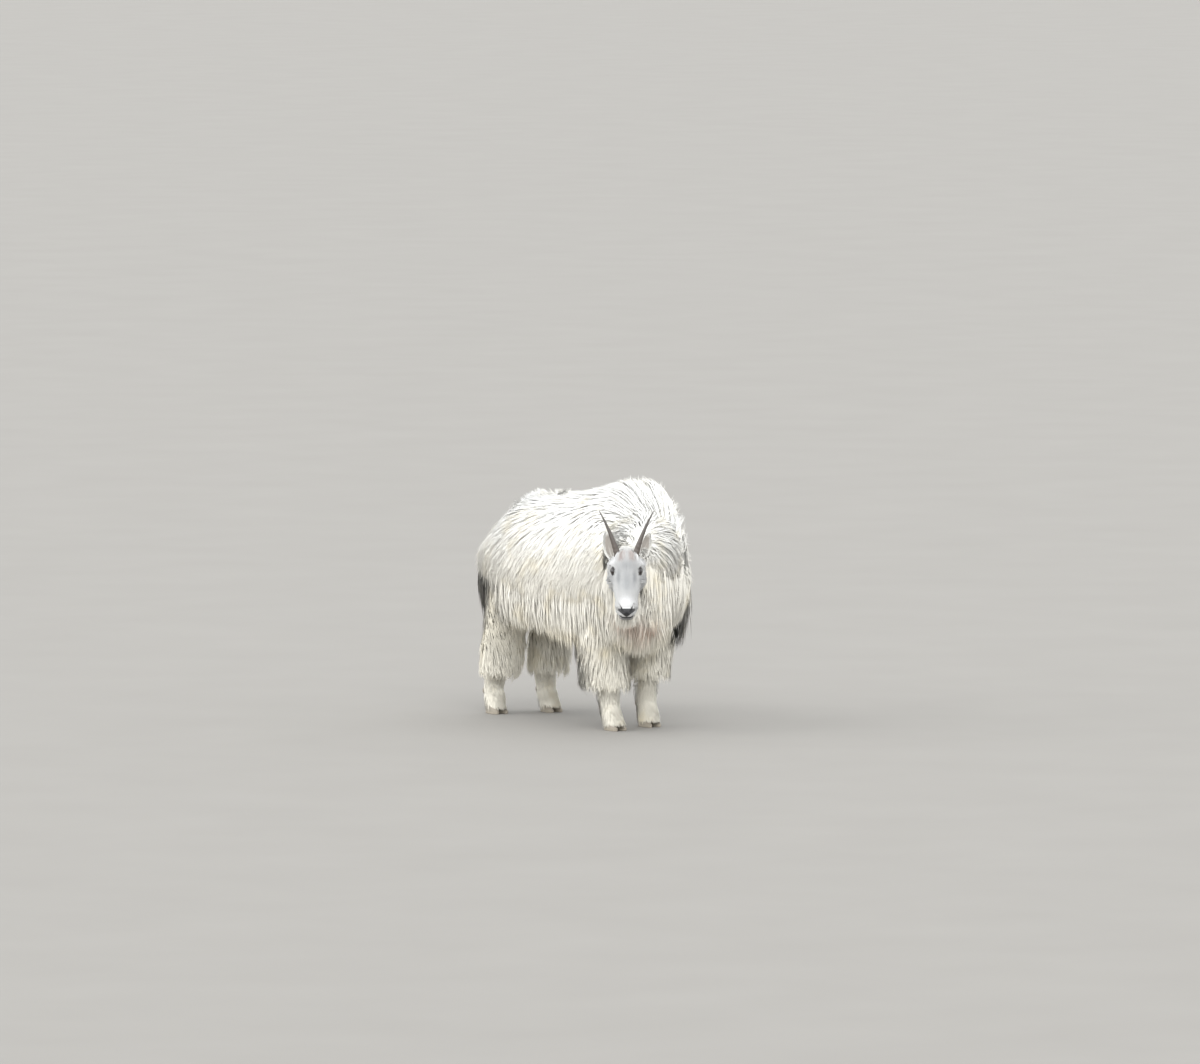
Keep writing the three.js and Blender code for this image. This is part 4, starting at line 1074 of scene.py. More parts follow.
@dataclass(frozen=True)
class Eyeball:
    """An eye's ball, with a wet bulge over a brown iris and its level slit."""

    side: Side
    eye: Eye = HEAD.eye
    bulge: float = 0.0008
    iris: str = "#1F1712"
    rim: str = "#0C0806"
    white: str = "#2E2622"
    pupil: str = "#020203"

    def build(self) -> Object:
        """Rings about the way it looks, closest over the iris."""
        angles = np.concatenate([np.linspace(0.01, 0.80, 72), np.linspace(0.88, np.pi - 0.02, 26)])
        angle, turn = round_grid(angles, 96)
        own = ball(angle, turn) * (self.eye.radius + self.bulge * bell(angle, 0.5))[..., None]
        head = own @ self.eye.axes().T + np.array(self.eye.place)
        made = closed(HEAD.placed(head * self.side.mirror)).build(f"eyeball_{self.side.word}")
        flat = np.concatenate([own.reshape(-1, 3), own[0].mean(0)[None], own[-1].mean(0)[None]])
        set_attribute(made, TINT, "FLOAT_COLOR", self.colours(flat))
        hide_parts(f"eye_{self.side.word}")
        return made

    def colours(self, own: Array) -> Array:
        """Pupil, iris with its fine rays, the iris's dark rim and the brown white of the eye."""
        a, b, facing = np.moveaxis(own, -1, 0)
        away, turn = np.hypot(a, b), np.arctan2(b, a)
        level = self.eye.axes().T @ np.cross(self.eye.axes()[:, 2], HEAD.axes()[2])
        c, s = level[:2] / np.hypot(*level[:2])
        along, over = a * c + b * s, b * c - a * s
        reach = away / self.eye.iris
        rays = 1 + 0.25 * np.sin(29 * turn) * np.sin(47 * turn + 1) * smooth(0.2, 0.8, reach)
        tint = linear(self.iris) * rays[:, None]
        tint = lerp(tint, linear(self.rim), smooth(0.72, 0.98, reach)[:, None])
        white = np.maximum(smooth(1.0, 1.12, reach), facing < 0)
        tint = lerp(tint, linear(self.white), white[:, None])
        long, short = self.eye.pupil
        slit = ((np.abs(along) / long) ** 3 + (np.abs(over) / short) ** 3) ** (1 / 3)
        shut = (1 - smooth(0.94, 1.06, slit)) * (facing > 0)
        return lerp(tint, linear(self.pupil), shut[:, None])


@dataclass(frozen=True)
class Horn:
    """A horn: slim, round and dark, ringed near its root, curving back and apart."""

    side: Side
    root: Triple = HORN_ROOT
    rise: Triple = (0.24, 0.56, 0.79)
    sweep: Triple = (0.46, 0.86, 0.24)
    length: float = 0.204
    base: float = 0.0142
    tip: float = 0.0014
    # The power of its taper, and the share of its length over which its point is rounded.
    taper: float = 0.85
    point: float = 0.012
    # How many rings, the share of the length that they reach, how proud they stand and how full.
    ring_count: int = 5
    ring_reach: float = 0.42
    ring_proud: float = 0.0009
    ring_full: float = 0.7
    # Fibres round the horn, and along it, to a unit of the pattern.
    fibres: Pair = (6.0, 9.0)

    def centre(self, share: Array) -> Array:
        """Its centre line in the head's axes, which turns from its rise towards its sweep."""
        share = share[..., None]
        rise, sweep = unit(np.array(self.rise)), unit(np.array(self.sweep))
        along = rise * share * (1 - share / 2) + sweep * share**2 / 2
        return np.array(self.root) + self.length * along

    def build(self) -> Object:
        """Rings along the centre line, tapering, with steps where each winter stopped its growth."""
        share, turn = round_grid(np.linspace(0, 0.999, 180), 40)
        ahead = unit(self.centre(share + 0.005) - self.centre(share - 0.005))
        across = unit(np.cross(ahead, np.array([0.0, 0.0, 1.0])))
        over = np.cross(across, ahead)
        wave = np.cos(2 * np.pi * self.ring_count * share / self.ring_reach)
        fading = np.clip(1 - share / self.ring_reach, 0, 1)
        ring = self.ring_proud * fading * bent(wave, self.ring_full)
        radius = (lerp(self.base, self.tip, share**self.taper) + ring)[..., None]
        radius = radius * np.sqrt(np.clip((1 - share) / self.point, 0, 1))[..., None]
        turned = across * np.sin(turn)[..., None] + over * np.cos(turn)[..., None]
        own = self.centre(share) + turned * radius
        made = closed(HEAD.placed(own * self.side.mirror)).build(f"horn_sheath_{self.side.word}")
        around, along = self.fibres
        nap = np.stack([np.cos(turn) * around, np.sin(turn) * around, share * along], axis=-1)
        nap, ends = nap.reshape(-1, 3), np.array([[0, 0, 0], [0, 0, along]])
        set_attribute(made, NAP, "FLOAT_VECTOR", np.concatenate([nap, ends]))
        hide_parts(f"horn_{self.side.word}")
        return made


@dataclass(frozen=True)
class Hoof:
    """A hoof of two claws, with the two dewclaws behind the fetlock."""

    name: str
    leg: Leg
    length: float = 0.080
    heel: float = 0.030
    wide: float = 0.029
    high: float = 0.040
    between: float = 0.003
    splay: float = math.radians(4)
    # How far before the leg's middle the coronet ends, the level up to which the toe is upright,
    # and the radius of the sole's edge.
    crest: float = 0.016
    toe: float = 0.011
    edge: float = 0.0035
    # The share of that radius by which the edge is drawn in, and how far the coronet is.
    edge_in: float = 0.6
    coronet_in: float = 0.0022
    # How much narrower a claw is at its toe and at its heel, and how full its outline is outside,
    # on the side of the other claw, and at its ends.
    narrower: Pair = (0.34, 0.10)
    full: Triple = (0.75, 0.45, 0.85)
    # Half a dewclaw's size across, fore and aft, and upright, its level, and how far it stands
    # aside of the leg's middle and is sunk into the leg's back.
    dewclaw_half: Triple = (0.0088, 0.011, 0.01375)
    dewclaw_level: float = 0.084
    dewclaw_aside: float = 0.015
    dewclaw_sunk: float = 0.003

    def claw_grid(self, side: Side) -> Array:
        """One claw: a long rounded outline at each level, drawn back up the slope of its toe.

        The outline narrows towards the toe, is flatter on the side of the other claw, and is drawn
        in round the edge of the sole and at the coronet.
        """
        edge = self.edge * (1 - np.cos(np.linspace(0, np.pi / 2, 6)))
        levels = np.concatenate([edge, np.linspace(self.edge, self.high, 22)[1:]])
        z, turn = round_grid(levels, 56)
        front = self.heel - self.length
        front = front + np.maximum(0, (z - self.toe) / (self.high - self.toe)) * (-self.crest - front)
        low = np.clip(1 - z / self.edge, 0, 1)
        drawn = self.edge * (1 - np.sqrt(1 - low**2)) * self.edge_in
        drawn = drawn + self.coronet_in * smooth(0.8, 1.0, z / self.high)
        half_long = (self.heel - front) / 2 - drawn
        half_wide = self.wide / 2 - drawn
        ahead = np.sin(turn)
        toe, heel = self.narrower
        narrow = 1 - toe * np.clip(ahead, 0, 1) ** 2 - heel * np.clip(-ahead, 0, 1) ** 2
        outside, inside, ends = self.full
        x = half_wide * narrow * bent(np.cos(turn), np.where(np.cos(turn) > 0, outside, inside))
        y = (self.heel + front) / 2 - half_long * bent(ahead, ends)
        x = x + (self.between + self.wide) / 2
        y = y - self.heel
        c, s = math.cos(self.splay), math.sin(self.splay)
        x, y = x * c - y * s, x * s + y * c + self.heel
        return np.stack([side.value * x, y, z], axis=-1) + self.leg.foot()

    def build(self) -> list[Object]:
        """The two claws and the dewclaws."""
        places = {side: "outer" if side is self.leg.side else "inner" for side in Side}
        claws = []
        for side, place in places.items():
            claws.append(closed(self.claw_grid(side)).build(f"hoof_{self.name}_{place}"))
            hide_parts(f"claw_{self.name}_{place}")
        behind = self.leg.point(np.array([self.dewclaw_level]), np.zeros(1), 0.0)[0]
        knob = ball(*round_grid(np.linspace(0.05, np.pi - 0.05, 14), 20)) * self.dewclaw_half
        shift = np.array([self.dewclaw_aside, -self.dewclaw_sunk, 0])
        knobs = [closed(knob + behind + shift * side.mirror).build(f"dewclaw_{self.name}_{place}")
                 for side, place in places.items()]
        return claws + knobs


Flow = Callable[[Array, Array, Array], Array]
Length = Callable[[Array, Array, Array], Array]


@dataclass(frozen=True)
class Coat:
    """One piece of the coat: tufts that grow from a patch of a form and follow the lie.

    A tuft is a thin blade of few faces with a low ridge. It comes up from the skin to its share of
    the coat's depth, runs along the lie just under the coat's surface, and tapers to a point.
    Neighbouring tufts are drawn together into locks.
    """

    name: str
    form: Form
    us: Pair
    vs: Pair
    count: int
    flow: Flow
    length: float | Length
    # The lowest and highest share of the coat that the tips reach, and the power by which a tuft
    # comes up through it, quicker below 1.
    tips: Pair = (0.78, 1.03)
    fullness: float = 0.42
    sunk: float = -0.04
    width: float = 0.0048
    ridge: float = 0.10
    segments: int = 3
    # Tufts to a lock, how far their tips are drawn to the lock's own, how unevenly, and how wide
    # the lock waves.
    lock: int = 9
    gather: float = 0.40
    uneven: Pair = (0.55, 1.15)
    wave: float = 0.004
    # How far single tips stray from their lock, as a share of its wave.
    frayed: float = 0.35
    # How freely a tuft hangs along the flow, from 0, lying, to 1, straight.
    loose: float = 0.0
    stray: float = 0.09
    vary: float = 0.16
    roll: float = 0.12
    # How much a tuft is shaded as round, and where along u the coat grows shallow.
    roundness: float = 0.45
    fade: Pair | None = None
    # How much darker the root is than the tip, and how much the tufts differ.
    root_shade: float = 0.97
    mottle: float = 0.02
    tint: Callable[[Array], Array] | None = None
    bare: Callable[[Array, Array, Array], Array] | None = None
    slot: str = "coat"

    def roots(self, chance: np.random.Generator) -> tuple[Array, Array]:
        """Roots spread evenly over the patch, by its area, less those where none grows."""
        cells = 96
        us, vs = (np.linspace(*span, cells + 1) for span in (self.us, self.vs))
        middles = np.meshgrid((us[1:] + us[:-1]) / 2, (vs[1:] + vs[:-1]) / 2, indexing="ij")
        area = np.linalg.norm(np.cross(*self.form.tangents(*middles, 0.0)), axis=-1) + 1e-9
        first, second = even_pairs(self.count, int(chance.integers(1 << 30))).T
        rows = np.concatenate([[0], np.cumsum(area.sum(axis=1))])
        row = np.interp(first, rows / rows[-1], np.arange(cells + 1))
        within = np.minimum(row.astype(int), cells - 1)
        reached = np.concatenate([np.zeros((cells, 1)), np.cumsum(area, axis=1)], axis=1)
        reached = (reached / reached[:, -1:] + np.arange(cells)[:, None]).ravel()
        at = np.searchsorted(reached, within + second).clip(1, len(reached) - 1)
        part = (within + second - reached[at - 1]) / np.maximum(reached[at] - reached[at - 1], 1e-12)
        column = at - 1 - within * (cells + 1) + part
        u = lerp(*self.us, row / cells)
        v = lerp(*self.vs, column / cells)
        if self.bare is None:
            return u, v
        grown = ~self.bare(u, v, self.form.point(u, v, 0.0))
        return u[grown], v[grown]

    def paths(self, u: Array, v: Array, chance: np.random.Generator) -> tuple[Array, Array]:
        """The middle lines of tufts from their roots, and the way out along each.

        At each step u and v move along the flow as it lies on the form: the pair of steps whose
        points move most nearly along it. Hair that hangs free faces aside, away from her middle.
        """
        count = len(u)
        root = self.form.point(u, v, self.sunk)
        aside = self.form.level_out(u, v, root)
        out = np.empty((count, self.segments + 1, 3))
        flow = unit(self.flow(u, v, root))
        flow = unit(flow + chance.normal(0, self.stray, (count, 3)))
        length = self.length(u, v, root) if callable(self.length) else np.full(count, self.length)
        length = length * (1 + chance.uniform(-self.vary, self.vary, count))
        tip = lerp(*self.tips, chance.uniform(0, 1, count) ** 0.6)
        if self.fade is not None:
            tip = tip * (1 - smooth(*self.fade, u))
        points = np.empty((count, self.segments + 1, 3))
        for k in range(self.segments + 1):
            share = k / self.segments
            depth = lerp(self.sunk, tip, share**self.fullness)
            lying = self.form.point(u, v, depth)
            out[:, k] = unit(lerp(self.form.out(u, v), aside, self.loose))
            hanging = root + flow * (length * share)[:, None]
            points[:, k] = lerp(lying, hanging, self.loose)
            with_u, with_v = self.form.tangents(u, v)
            a, b, c = dot(with_u, with_u), dot(with_u, with_v), dot(with_v, with_v)
            p, q = dot(with_u, flow), dot(with_v, flow)
            du, dv = p * c - q * b, q * a - p * b
            step = np.linalg.norm(with_u * du[:, None] + with_v * dv[:, None], axis=-1)
            step = length / self.segments / np.maximum(step, 1e-12)
            u, v = u + du * step, v + dv * step
        return points, out

    def gathered(self, points: Array, out: Array, chance: np.random.Generator) -> Array:
        """Draws tufts together into locks towards their tips, and waves each lock as one.

        The first tufts are spread evenly, so they lead the locks, and each other tuft follows the
        leader whose root is nearest.
        """
        leaders = max(1, len(points) // self.lock)
        leader = np.empty(len(points), int)
        for start in range(0, len(points), ROOTS_AT_ONCE):
            batch = slice(start, start + ROOTS_AT_ONCE)
            away = np.sum((points[batch, None, 0] - points[None, :leaders, 0]) ** 2, axis=-1)
            leader[batch] = np.argmin(away, axis=1)
        share = np.linspace(0, 1, self.segments + 1)[None, :, None]
        drawn = self.gather * chance.uniform(*self.uneven, (len(points), 1, 1))
        gathered = lerp(points, points[leader], np.clip(drawn, 0, 0.95) * share**1.3)
        phase = chance.uniform(0, 2 * np.pi, leaders)[leader][:, None, None]
        turns = chance.uniform(0.7, 1.3, leaders)[leader][:, None, None]
        ahead = unit(points[:, -1] - points[:, 0])
        aside = np.cross(ahead, out[:, 0])[:, None]
        wave = self.wave * np.sin(phase + 2 * np.pi * turns * share) * share
        loose_ends = chance.normal(0, self.frayed * self.wave, (len(points), 1, 3)) * share**2
        return gathered + aside * wave + loose_ends

    def blades(self, points: Array, out: Array, chance: np.random.Generator) -> Shape:
        """The tufts' faces: rings of two edges and a ridge, closed at the root and at the tip."""
        count, rings = len(points), self.segments
        ahead = np.gradient(points, axis=1)
        roll = chance.normal(0, self.roll, (count, 1, 1))
        side = unit(np.cross(ahead, out))
        over = unit(np.cross(side, ahead))
        c, s = np.cos(roll), np.sin(roll)
        side, over = side * c + over * s, over * c - side * s
        shares = np.arange(rings) / rings
        taper = (0.55 + 1.6 * shares) * (1 - shares) ** 0.75
        width = self.width * chance.uniform(0.7, 1.3, (count, 1, 1)) * (taper / taper.max())[:, None]
        middle = points[:, :-1]
        left = middle + side[:, :-1] * width / 2
        right = middle - side[:, :-1] * width / 2
        ridge = middle + over[:, :-1] * width * self.ridge
        rows = np.stack([left, right, ridge], axis=2).reshape(count, 3 * rings, 3)
        found = np.concatenate([rows, points[:, -1:]], axis=1)
        faces = [[0, 2, 1]]
        for i in range(rings):
            for j in range(3):
                a, b = 3 * i + j, 3 * i + (j + 1) % 3
                if i == rings - 1:
                    faces.append([a, b, 3 * rings])
                else:
                    faces += [[a, b, a + 3], [b, b + 3, a + 3]]
        each = np.array(faces)[None] + (3 * rings + 1) * np.arange(count)[:, None, None]
        return Shape(found.reshape(-1, 3), (each.reshape(-1, 3),))

    def build(self) -> Object:
        """Grows the piece and gives it its colours and its maps."""
        chance = np.random.default_rng(sum(self.name.encode()) * 7919)
        u, v = self.roots(chance)
        points, out = self.paths(u, v, chance)
        points = self.gathered(points, out, chance)
        blades = self.blades(points, out, chance)
        made = blades.build(self.name)
        normals = self.soft_normals(points, out, blades)
        set_attribute(made, "custom_normal", "FLOAT_VECTOR", normals, domain="CORNER")
        each = 3 * self.segments + 1
        share = np.append(np.repeat(np.arange(self.segments) / self.segments, 3), 1.0)
        across = np.append(np.tile([0.0, 1.0, 0.5], self.segments), 0.5)
        where = points_of(made)
        if self.tint is not None:
            where = np.repeat(points[:, 0], each, axis=0)
        tint = (self.tint or MARKINGS.coat)(where).reshape(len(u), each, 3)
        tint = tint * lerp(self.root_shade, 1.0, smooth(0, 0.7, share))[None, :, None]
        tint = tint * (1 + chance.normal(0, self.mottle, (len(u), 1, 1)))
        set_attribute(made, TINT, "FLOAT_COLOR", np.clip(tint, 0, 1).reshape(-1, 3))
        length = np.linalg.norm(points[:, -1] - points[:, 0], axis=-1)
        streak = np.stack([across + chance.uniform(0, 50, (len(u), 1)),
                           share * length[:, None] + chance.uniform(0, 50, (len(u), 1))], axis=-1)
        set_map(made, HAIR_MAP, streak.reshape(-1, 2))
        place = [(u - self.us[0]) / np.ptp(self.us), (v - self.vs[0]) / np.ptp(self.vs)]
        place = lerp(BAKE_MARGIN, 1 - BAKE_MARGIN, np.stack(place, axis=-1))[:, None]
        patch = BAKE_PATCH * (np.stack([across, share], axis=-1) - 0.5)
        set_map(made, BAKE_MAP, (place + patch).reshape(-1, 2))
        made.data.uv_layers[BAKE_MAP].active_render = True
        return made

    def soft_normals(self, points: Array, out: Array, blades: Shape) -> Array:
        """The way each corner of a blade is shaded: as the coat's surface there, a little rounded.

        Fine hair scatters light between its strands, so a lock is never as harshly lit as a blade.
        The normal is the way out, turned to each side at the edges and forwards at the tip, and on
        a face that looks inwards it is turned about.
        """
        ahead = unit(np.gradient(points, axis=1))
        side = unit(np.cross(ahead, out)) * self.roundness
        rows = np.stack([out + side, out - side, out], axis=2)[:, :-1]
        tip = out[:, -1:] + ahead[:, -1:] * self.roundness
        found = unit(np.concatenate([rows.reshape(len(points), -1, 3), tip], axis=1)).reshape(-1, 3)
        faces = blades.faces[0]
        a, b, c = (blades.points[faces[:, i]] for i in range(3))
        corners = found[faces]
        outwards = dot(np.cross(b - a, c - a), corners.mean(axis=1)) >= 0
        return (corners * np.where(outwards, 1, -1)[:, None, None]).reshape(-1, 3)


# The whole turn about a form.
ROUND = (-np.pi, np.pi)

# The ways in which the hair lies, in her own axes, or in the head's for face, cheeks and crown,
# and how much the fringe on her left leans inwards.
DOWN = np.array([0.0, 0.0, -1.0])
INWARDS = np.array([-0.05, 0.0, 0.0])
FLANK_LIE = np.array([0.0, 0.45, -1.0])
CREST_LIE = np.array([0.0, 1.0, 0.30])
TOUSLE_LIE = np.array([0.0, 0.8, 0.9])
NECK_LIE = np.array([0.35, 0.75, -0.75])
FACE_LIE = np.array([0.0, 1.0, -0.25])
CHEEK_LIE = np.array([0.0, 0.85, -0.55])
CROWN_LIE = np.array([0.0, 0.75, 0.65])


def straight(lie: Array) -> Flow:
    """A lie that is the same all over."""
    return lambda u, v, points: np.broadcast_to(lie, points.shape)


def trunk_flow(u: Array, v: Array, points: Array) -> Array:
    """Back along the spine, down and back over the flanks, and straight down at the breast."""
    aside = smooth(0.10, 0.75, np.abs(v))[:, None]
    lie = lerp(CREST_LIE, FLANK_LIE, aside)
    front = lerp(CREST_LIE, DOWN, smooth(0.80, 1.50, np.abs(v))[:, None])
    return lerp(front, lie, smooth(-0.95, -0.70, u)[:, None])


def face_flow(u: Array, v: Array, points: Array) -> Array:
    """Back from the nose along the head."""
    return np.broadcast_to(HEAD.axes() @ FACE_LIE, points.shape)


def face_length(u: Array, v: Array, points: Array) -> Array:
    """Shortest on the muzzle, longer on the cheeks and under the jaw, longest behind the horns."""
    _, y, z = HEAD.own(points).T
    muzzle, cheek, longer_below, longer_behind = 0.0055, 0.011, 0.020, 0.030
    length = lerp(muzzle, cheek, smooth(-0.160, -0.060, y))
    length = length + longer_below * smooth(-0.010, -0.060, z) * smooth(-0.110, -0.040, y)
    return length + longer_behind * smooth(*MARKINGS.face_back, y)


def face_bare(u: Array, v: Array, points: Array) -> Array:
    """Whether the skin is bare: the nose, the lips' edges, and the eyes with their lids."""
    own = HEAD.own_left(points)
    leather, _, inside = MARKINGS.bareness(points)
    before = own + np.array([0, 0.008, 0])
    eyes = (HEAD.eye.beside(own) < 1.42) | (HEAD.eye.beside(before) < 1.15)
    horns = np.hypot(own[:, 0] - HORN_ROOT[0], own[:, 1] - HORN_ROOT[1]) < HORN_CLEAR
    return (leather + inside > 0.25) | eyes | (horns & (own[:, 2] > 0))


def in_neck(u: Array, v: Array, points: Array) -> Array:
    """Whether a root lies within the neck, so that none grows there."""
    return NECK.holds(points, 0.0)


def leg_length(leg: Leg) -> Length:
    """Long hair whose tips end near the leg's hem."""
    past_hem, shortest, longest = 0.010, 0.045, 0.150
    return lambda u, v, points: np.clip(u - leg.hem + past_hem, shortest, longest)


def belly_length(u: Array, v: Array, points: Array) -> Array:
    """Longer towards the stifles and between the forelegs."""
    chest, stifles, longer_between = 0.125, 0.165, 0.050
    return lerp(chest, stifles, smooth(-0.1, 0.5, u)) + longer_between * bell(u + 0.85, 0.25)


def fringe_length(u: Array, v: Array, points: Array) -> Array:
    """Shorter at the belly than over the shoulders and the haunches."""
    longest, shorter = 0.185, 0.065
    return longest - shorter * bell(u - 0.15, 0.35)


def throat_length(u: Array, v: Array, points: Array) -> Array:
    """Longest under the middle of the neck and shorter towards the chin."""
    middle, chin = 0.205, 0.120
    return lerp(middle, chin, smooth(0.66, 0.93, u))


def foot_length(u: Array, v: Array, points: Array) -> Array:
    """As long as reaches down to the edge of the sole."""
    longest, level = 0.046, 0.010
    return np.minimum(longest, u - level)


def foot_flow(u: Array, v: Array, points: Array) -> Array:
    """Down, and forwards over the toes."""
    ahead = np.clip(-np.cos(v), 0, 1)
    return np.stack([0 * v, -1.0 * ahead, -np.ones_like(v)], axis=-1)


def on_side(side: Side, low: float, high: float) -> Pair:
    """Turns from the spine, given as for her left."""
    return (low, high) if side is Side.LEFT else (-high, -low)


def trunk_coats() -> list[Coat]:
    """The long coat of trunk, neck and tail."""
    pieces = []
    for side in Side:
        for part, us in (("fore", (-0.90, 0.06)), ("rear", (0.06, 0.985))):
            pieces.append(Coat(f"coat_flank_{side.word}_{part}", TRUNK, us, on_side(side, 0.14, 2.50),
                               7700, trunk_flow, length=0.200, bare=in_neck))
        pieces.append(Coat(f"coat_fringe_{side.word}", TRUNK, (-0.82, 0.88), on_side(side, 1.05, 2.10),
                           6400, straight(DOWN + INWARDS * side.mirror), length=fringe_length,
                           loose=0.85, sunk=0.72, bare=in_neck))
    return pieces + [
        Coat("coat_belly", TRUNK, (-0.96, 0.86), (2.30, 3.98), 3600, straight(DOWN),
             length=belly_length, tips=(0.4, 0.9), loose=0.85),
        Coat("coat_crest", TRUNK, (-0.93, 0.97), (-0.34, 0.34), 6000, straight(CREST_LIE),
             length=0.130, loose=0.28, width=0.0046, gather=0.5),
        Coat("coat_breast", TRUNK, (-0.9999, -0.86), ROUND, 6000, trunk_flow,
             length=0.190, loose=0.15, bare=in_neck),
        Coat("coat_neck", NECK, (0.36, 0.93), ROUND, 7500, straight(NECK_LIE), length=0.150),
        Coat("coat_throat", NECK, (0.40, 0.95), (1.25, 5.03), 4600, straight(DOWN),
             length=throat_length, loose=0.92, gather=0.5, sunk=0.5),
        Coat("coat_tail", TAIL, (0.0, 0.97), ROUND, 1500, straight(DOWN), length=0.065,
             loose=0.15, width=0.0042),
    ]


def leg_coats(name: str, leg: Leg) -> list[Coat]:
    """The chaps of a leg, its short coat below them, and the hair over its hoof."""
    short = {"segments": 2, "sunk": -0.08}
    return [
        Coat(f"coat_{name}", leg, (leg.hem + 0.045, leg.parting + 0.140), ROUND, 3300, straight(DOWN),
             length=leg_length(leg), loose=0.06, fade=leg.fade(), vary=0.26),
        Coat(f"coat_cannon_{name}", leg, (0.040, leg.hem + 0.080), ROUND, 1700, straight(DOWN),
             length=0.022, tips=(0.10, 0.30), width=0.0030, lock=5, gather=0.3, wave=0.001, **short),
        Coat(f"coat_foot_{name}", leg, (0.038, 0.105), ROUND, 1300, foot_flow, length=foot_length,
             tips=(0.2, 1.0), loose=0.8, width=0.0034, lock=6, gather=0.5, wave=0.002,
             fade=(0.060, 0.105), **short),
    ]


def head_coats() -> list[Coat]:
    """The fur of the face, the beard under the jaw, and the longer hair of cheeks and crown."""
    fur = {"sunk": -0.25, "tint": MARKINGS.facial, "bare": face_bare, "slot": "face"}
    return [
        Coat("fur_face", HEAD, (0.004, 0.97), ROUND, 12500, face_flow, length=face_length,
             tips=(0.35, 0.85), width=0.0017, segments=2, lock=4, gather=0.25, wave=0.0006, **fur),
        Coat("beard_jaw", HEAD, (0.34, 0.60), (2.0, 4.3), 700, straight(DOWN), length=0.110,
             loose=0.93, sunk=-0.3, width=0.0038, gather=0.6),
        Coat("fur_cheeks", HEAD, (0.48, 0.90), (1.15, 5.13), 2400, straight(HEAD.axes() @ CHEEK_LIE),
             length=0.042, tips=(0.6, 1.9), width=0.0028, wave=0.002, **fur),
        Coat("coat_crown", HEAD, (0.71, 0.97), (-0.75, 0.75), 900, straight(HEAD.axes() @ CROWN_LIE),
             length=0.040, tips=(0.5, 2.0), loose=0.35, width=0.0026, gather=0.5, wave=0.002, **fur),
    ]


def loose_coats() -> list[Coat]:
    """Hair that stands proud of the coat: ruffled locks on the back, and wisps all over."""
    return [
        Coat("coat_tousle", TRUNK, (0.12, 0.66), (-0.28, 0.28), 420, straight(TOUSLE_LIE),
             length=0.075, tips=(1.02, 1.20), fullness=0.8, width=0.0044, lock=22, gather=0.95,
             stray=0.3),
        Coat("coat_wisps", TRUNK, (-0.97, 0.985), (-1.7, 1.7), 1100, trunk_flow, length=0.085,
             tips=(0.98, 1.07), fullness=1.0, width=0.0040, lock=7, gather=0.8, stray=0.2,
             bare=in_neck),
    ]


def ear_coat(ear: Ear) -> Coat:
    """The short fur of an ear, which lies towards its tip."""
    lie = HEAD.axes() @ (ear.axes()[:, 1] * ear.side.mirror)
    return Coat(f"fur_ear_{ear.side.word}", ear, (0.02, 0.97), (-1.9, 1.9), 1500, straight(lie),
                length=0.019, tips=(0.3, 1.2), width=0.0019, segments=2, lock=4, gather=0.3,
                wave=0.0006, sunk=-0.2, tint=MARKINGS.facial, slot="face")


def coats() -> list[Coat]:
    """Every piece of the coat."""
    legs = [piece for name, leg in LEGS.items() for piece in leg_coats(name, leg)]
    ears = [ear_coat(ear) for ear in EARS.values()]
    return trunk_coats() + legs + head_coats() + loose_coats() + ears


def add(tree: Tree, kind: str, inputs: dict | None = None, **settings) -> bpy.types.Node:
    """Adds a node with its settings and links.

    Args:
        tree: The node tree.
        kind: The node's type.
        inputs: For an input's name or number, its value or the output that feeds it.
        **settings: The node's own properties.

    Returns:
        The node.
    """
    node = tree.nodes.new(kind)
    for name, value in settings.items():
        setattr(node, name, value)
    for key, value in (inputs or {}).items():
        if isinstance(value, Socket):
            tree.links.new(value, node.inputs[key])
        else:
            node.inputs[key].default_value = value
    return node


def rgba(code: str) -> tuple[float, float, float, float]:
    """An sRGB hex colour as a linear colour with full alpha."""
    return (*linear(code), 1.0)


def attribute(tree: Tree, name: str, output: str) -> Socket:
    """Reads an attribute of the mesh, as its Color, its Vector or its Fac."""
    return add(tree, "ShaderNodeAttribute", attribute_name=name).outputs[output]


def place_in(tree: Tree) -> Socket:
    """The place on the object."""
    return add(tree, "ShaderNodeTexCoord").outputs["Object"]


def scaled(tree: Tree, place: Socket, scale: Triple) -> Socket:
    """A place stretched along its axes."""
    return add(tree, "ShaderNodeMapping", {"Vector": place, "Scale": scale}).outputs[0]


def noise(tree: Tree, place: Socket, detail: float, scale: float = 1.0, **settings) -> Socket:
    """A noise from 0 to 1 over a place."""
    inputs = {"Vector": place, "Scale": scale, "Detail": detail}
    return add(tree, "ShaderNodeTexNoise", inputs, **settings).outputs["Fac"]


def ranged(tree: Tree, value: Socket, given: Pair, wanted: Pair) -> Socket:
    """A value with a given span spread over the wanted one, and held at its ends."""
    inputs = {"Value": value, "From Min": given[0], "From Max": given[1],
              "To Min": wanted[0], "To Max": wanted[1]}
    return add(tree, "ShaderNodeMapRange", inputs).outputs[0]


def product(tree: Tree, first: Socket, second: Socket, **settings) -> Socket:
    """Two values multiplied."""
    inputs = {0: first, 1: second}
    return add(tree, "ShaderNodeMath", inputs, operation="MULTIPLY", **settings).outputs[0]


def darkened(tree: Tree, colour: Socket, light: Socket) -> Socket:
    """A colour times a value."""
    return add(tree, "ShaderNodeVectorMath", {0: colour, 1: light}, operation="MULTIPLY").outputs[0]


def mixed(tree: Tree, share: Socket, first: object, second: object, **settings) -> Socket:
    """A share of the second of two colours, laid over the first."""
    inputs = {"Factor": share, "A": first, "B": second}
    return add(tree, "ShaderNodeMix", inputs, data_type="RGBA", **settings).outputs["Result"]


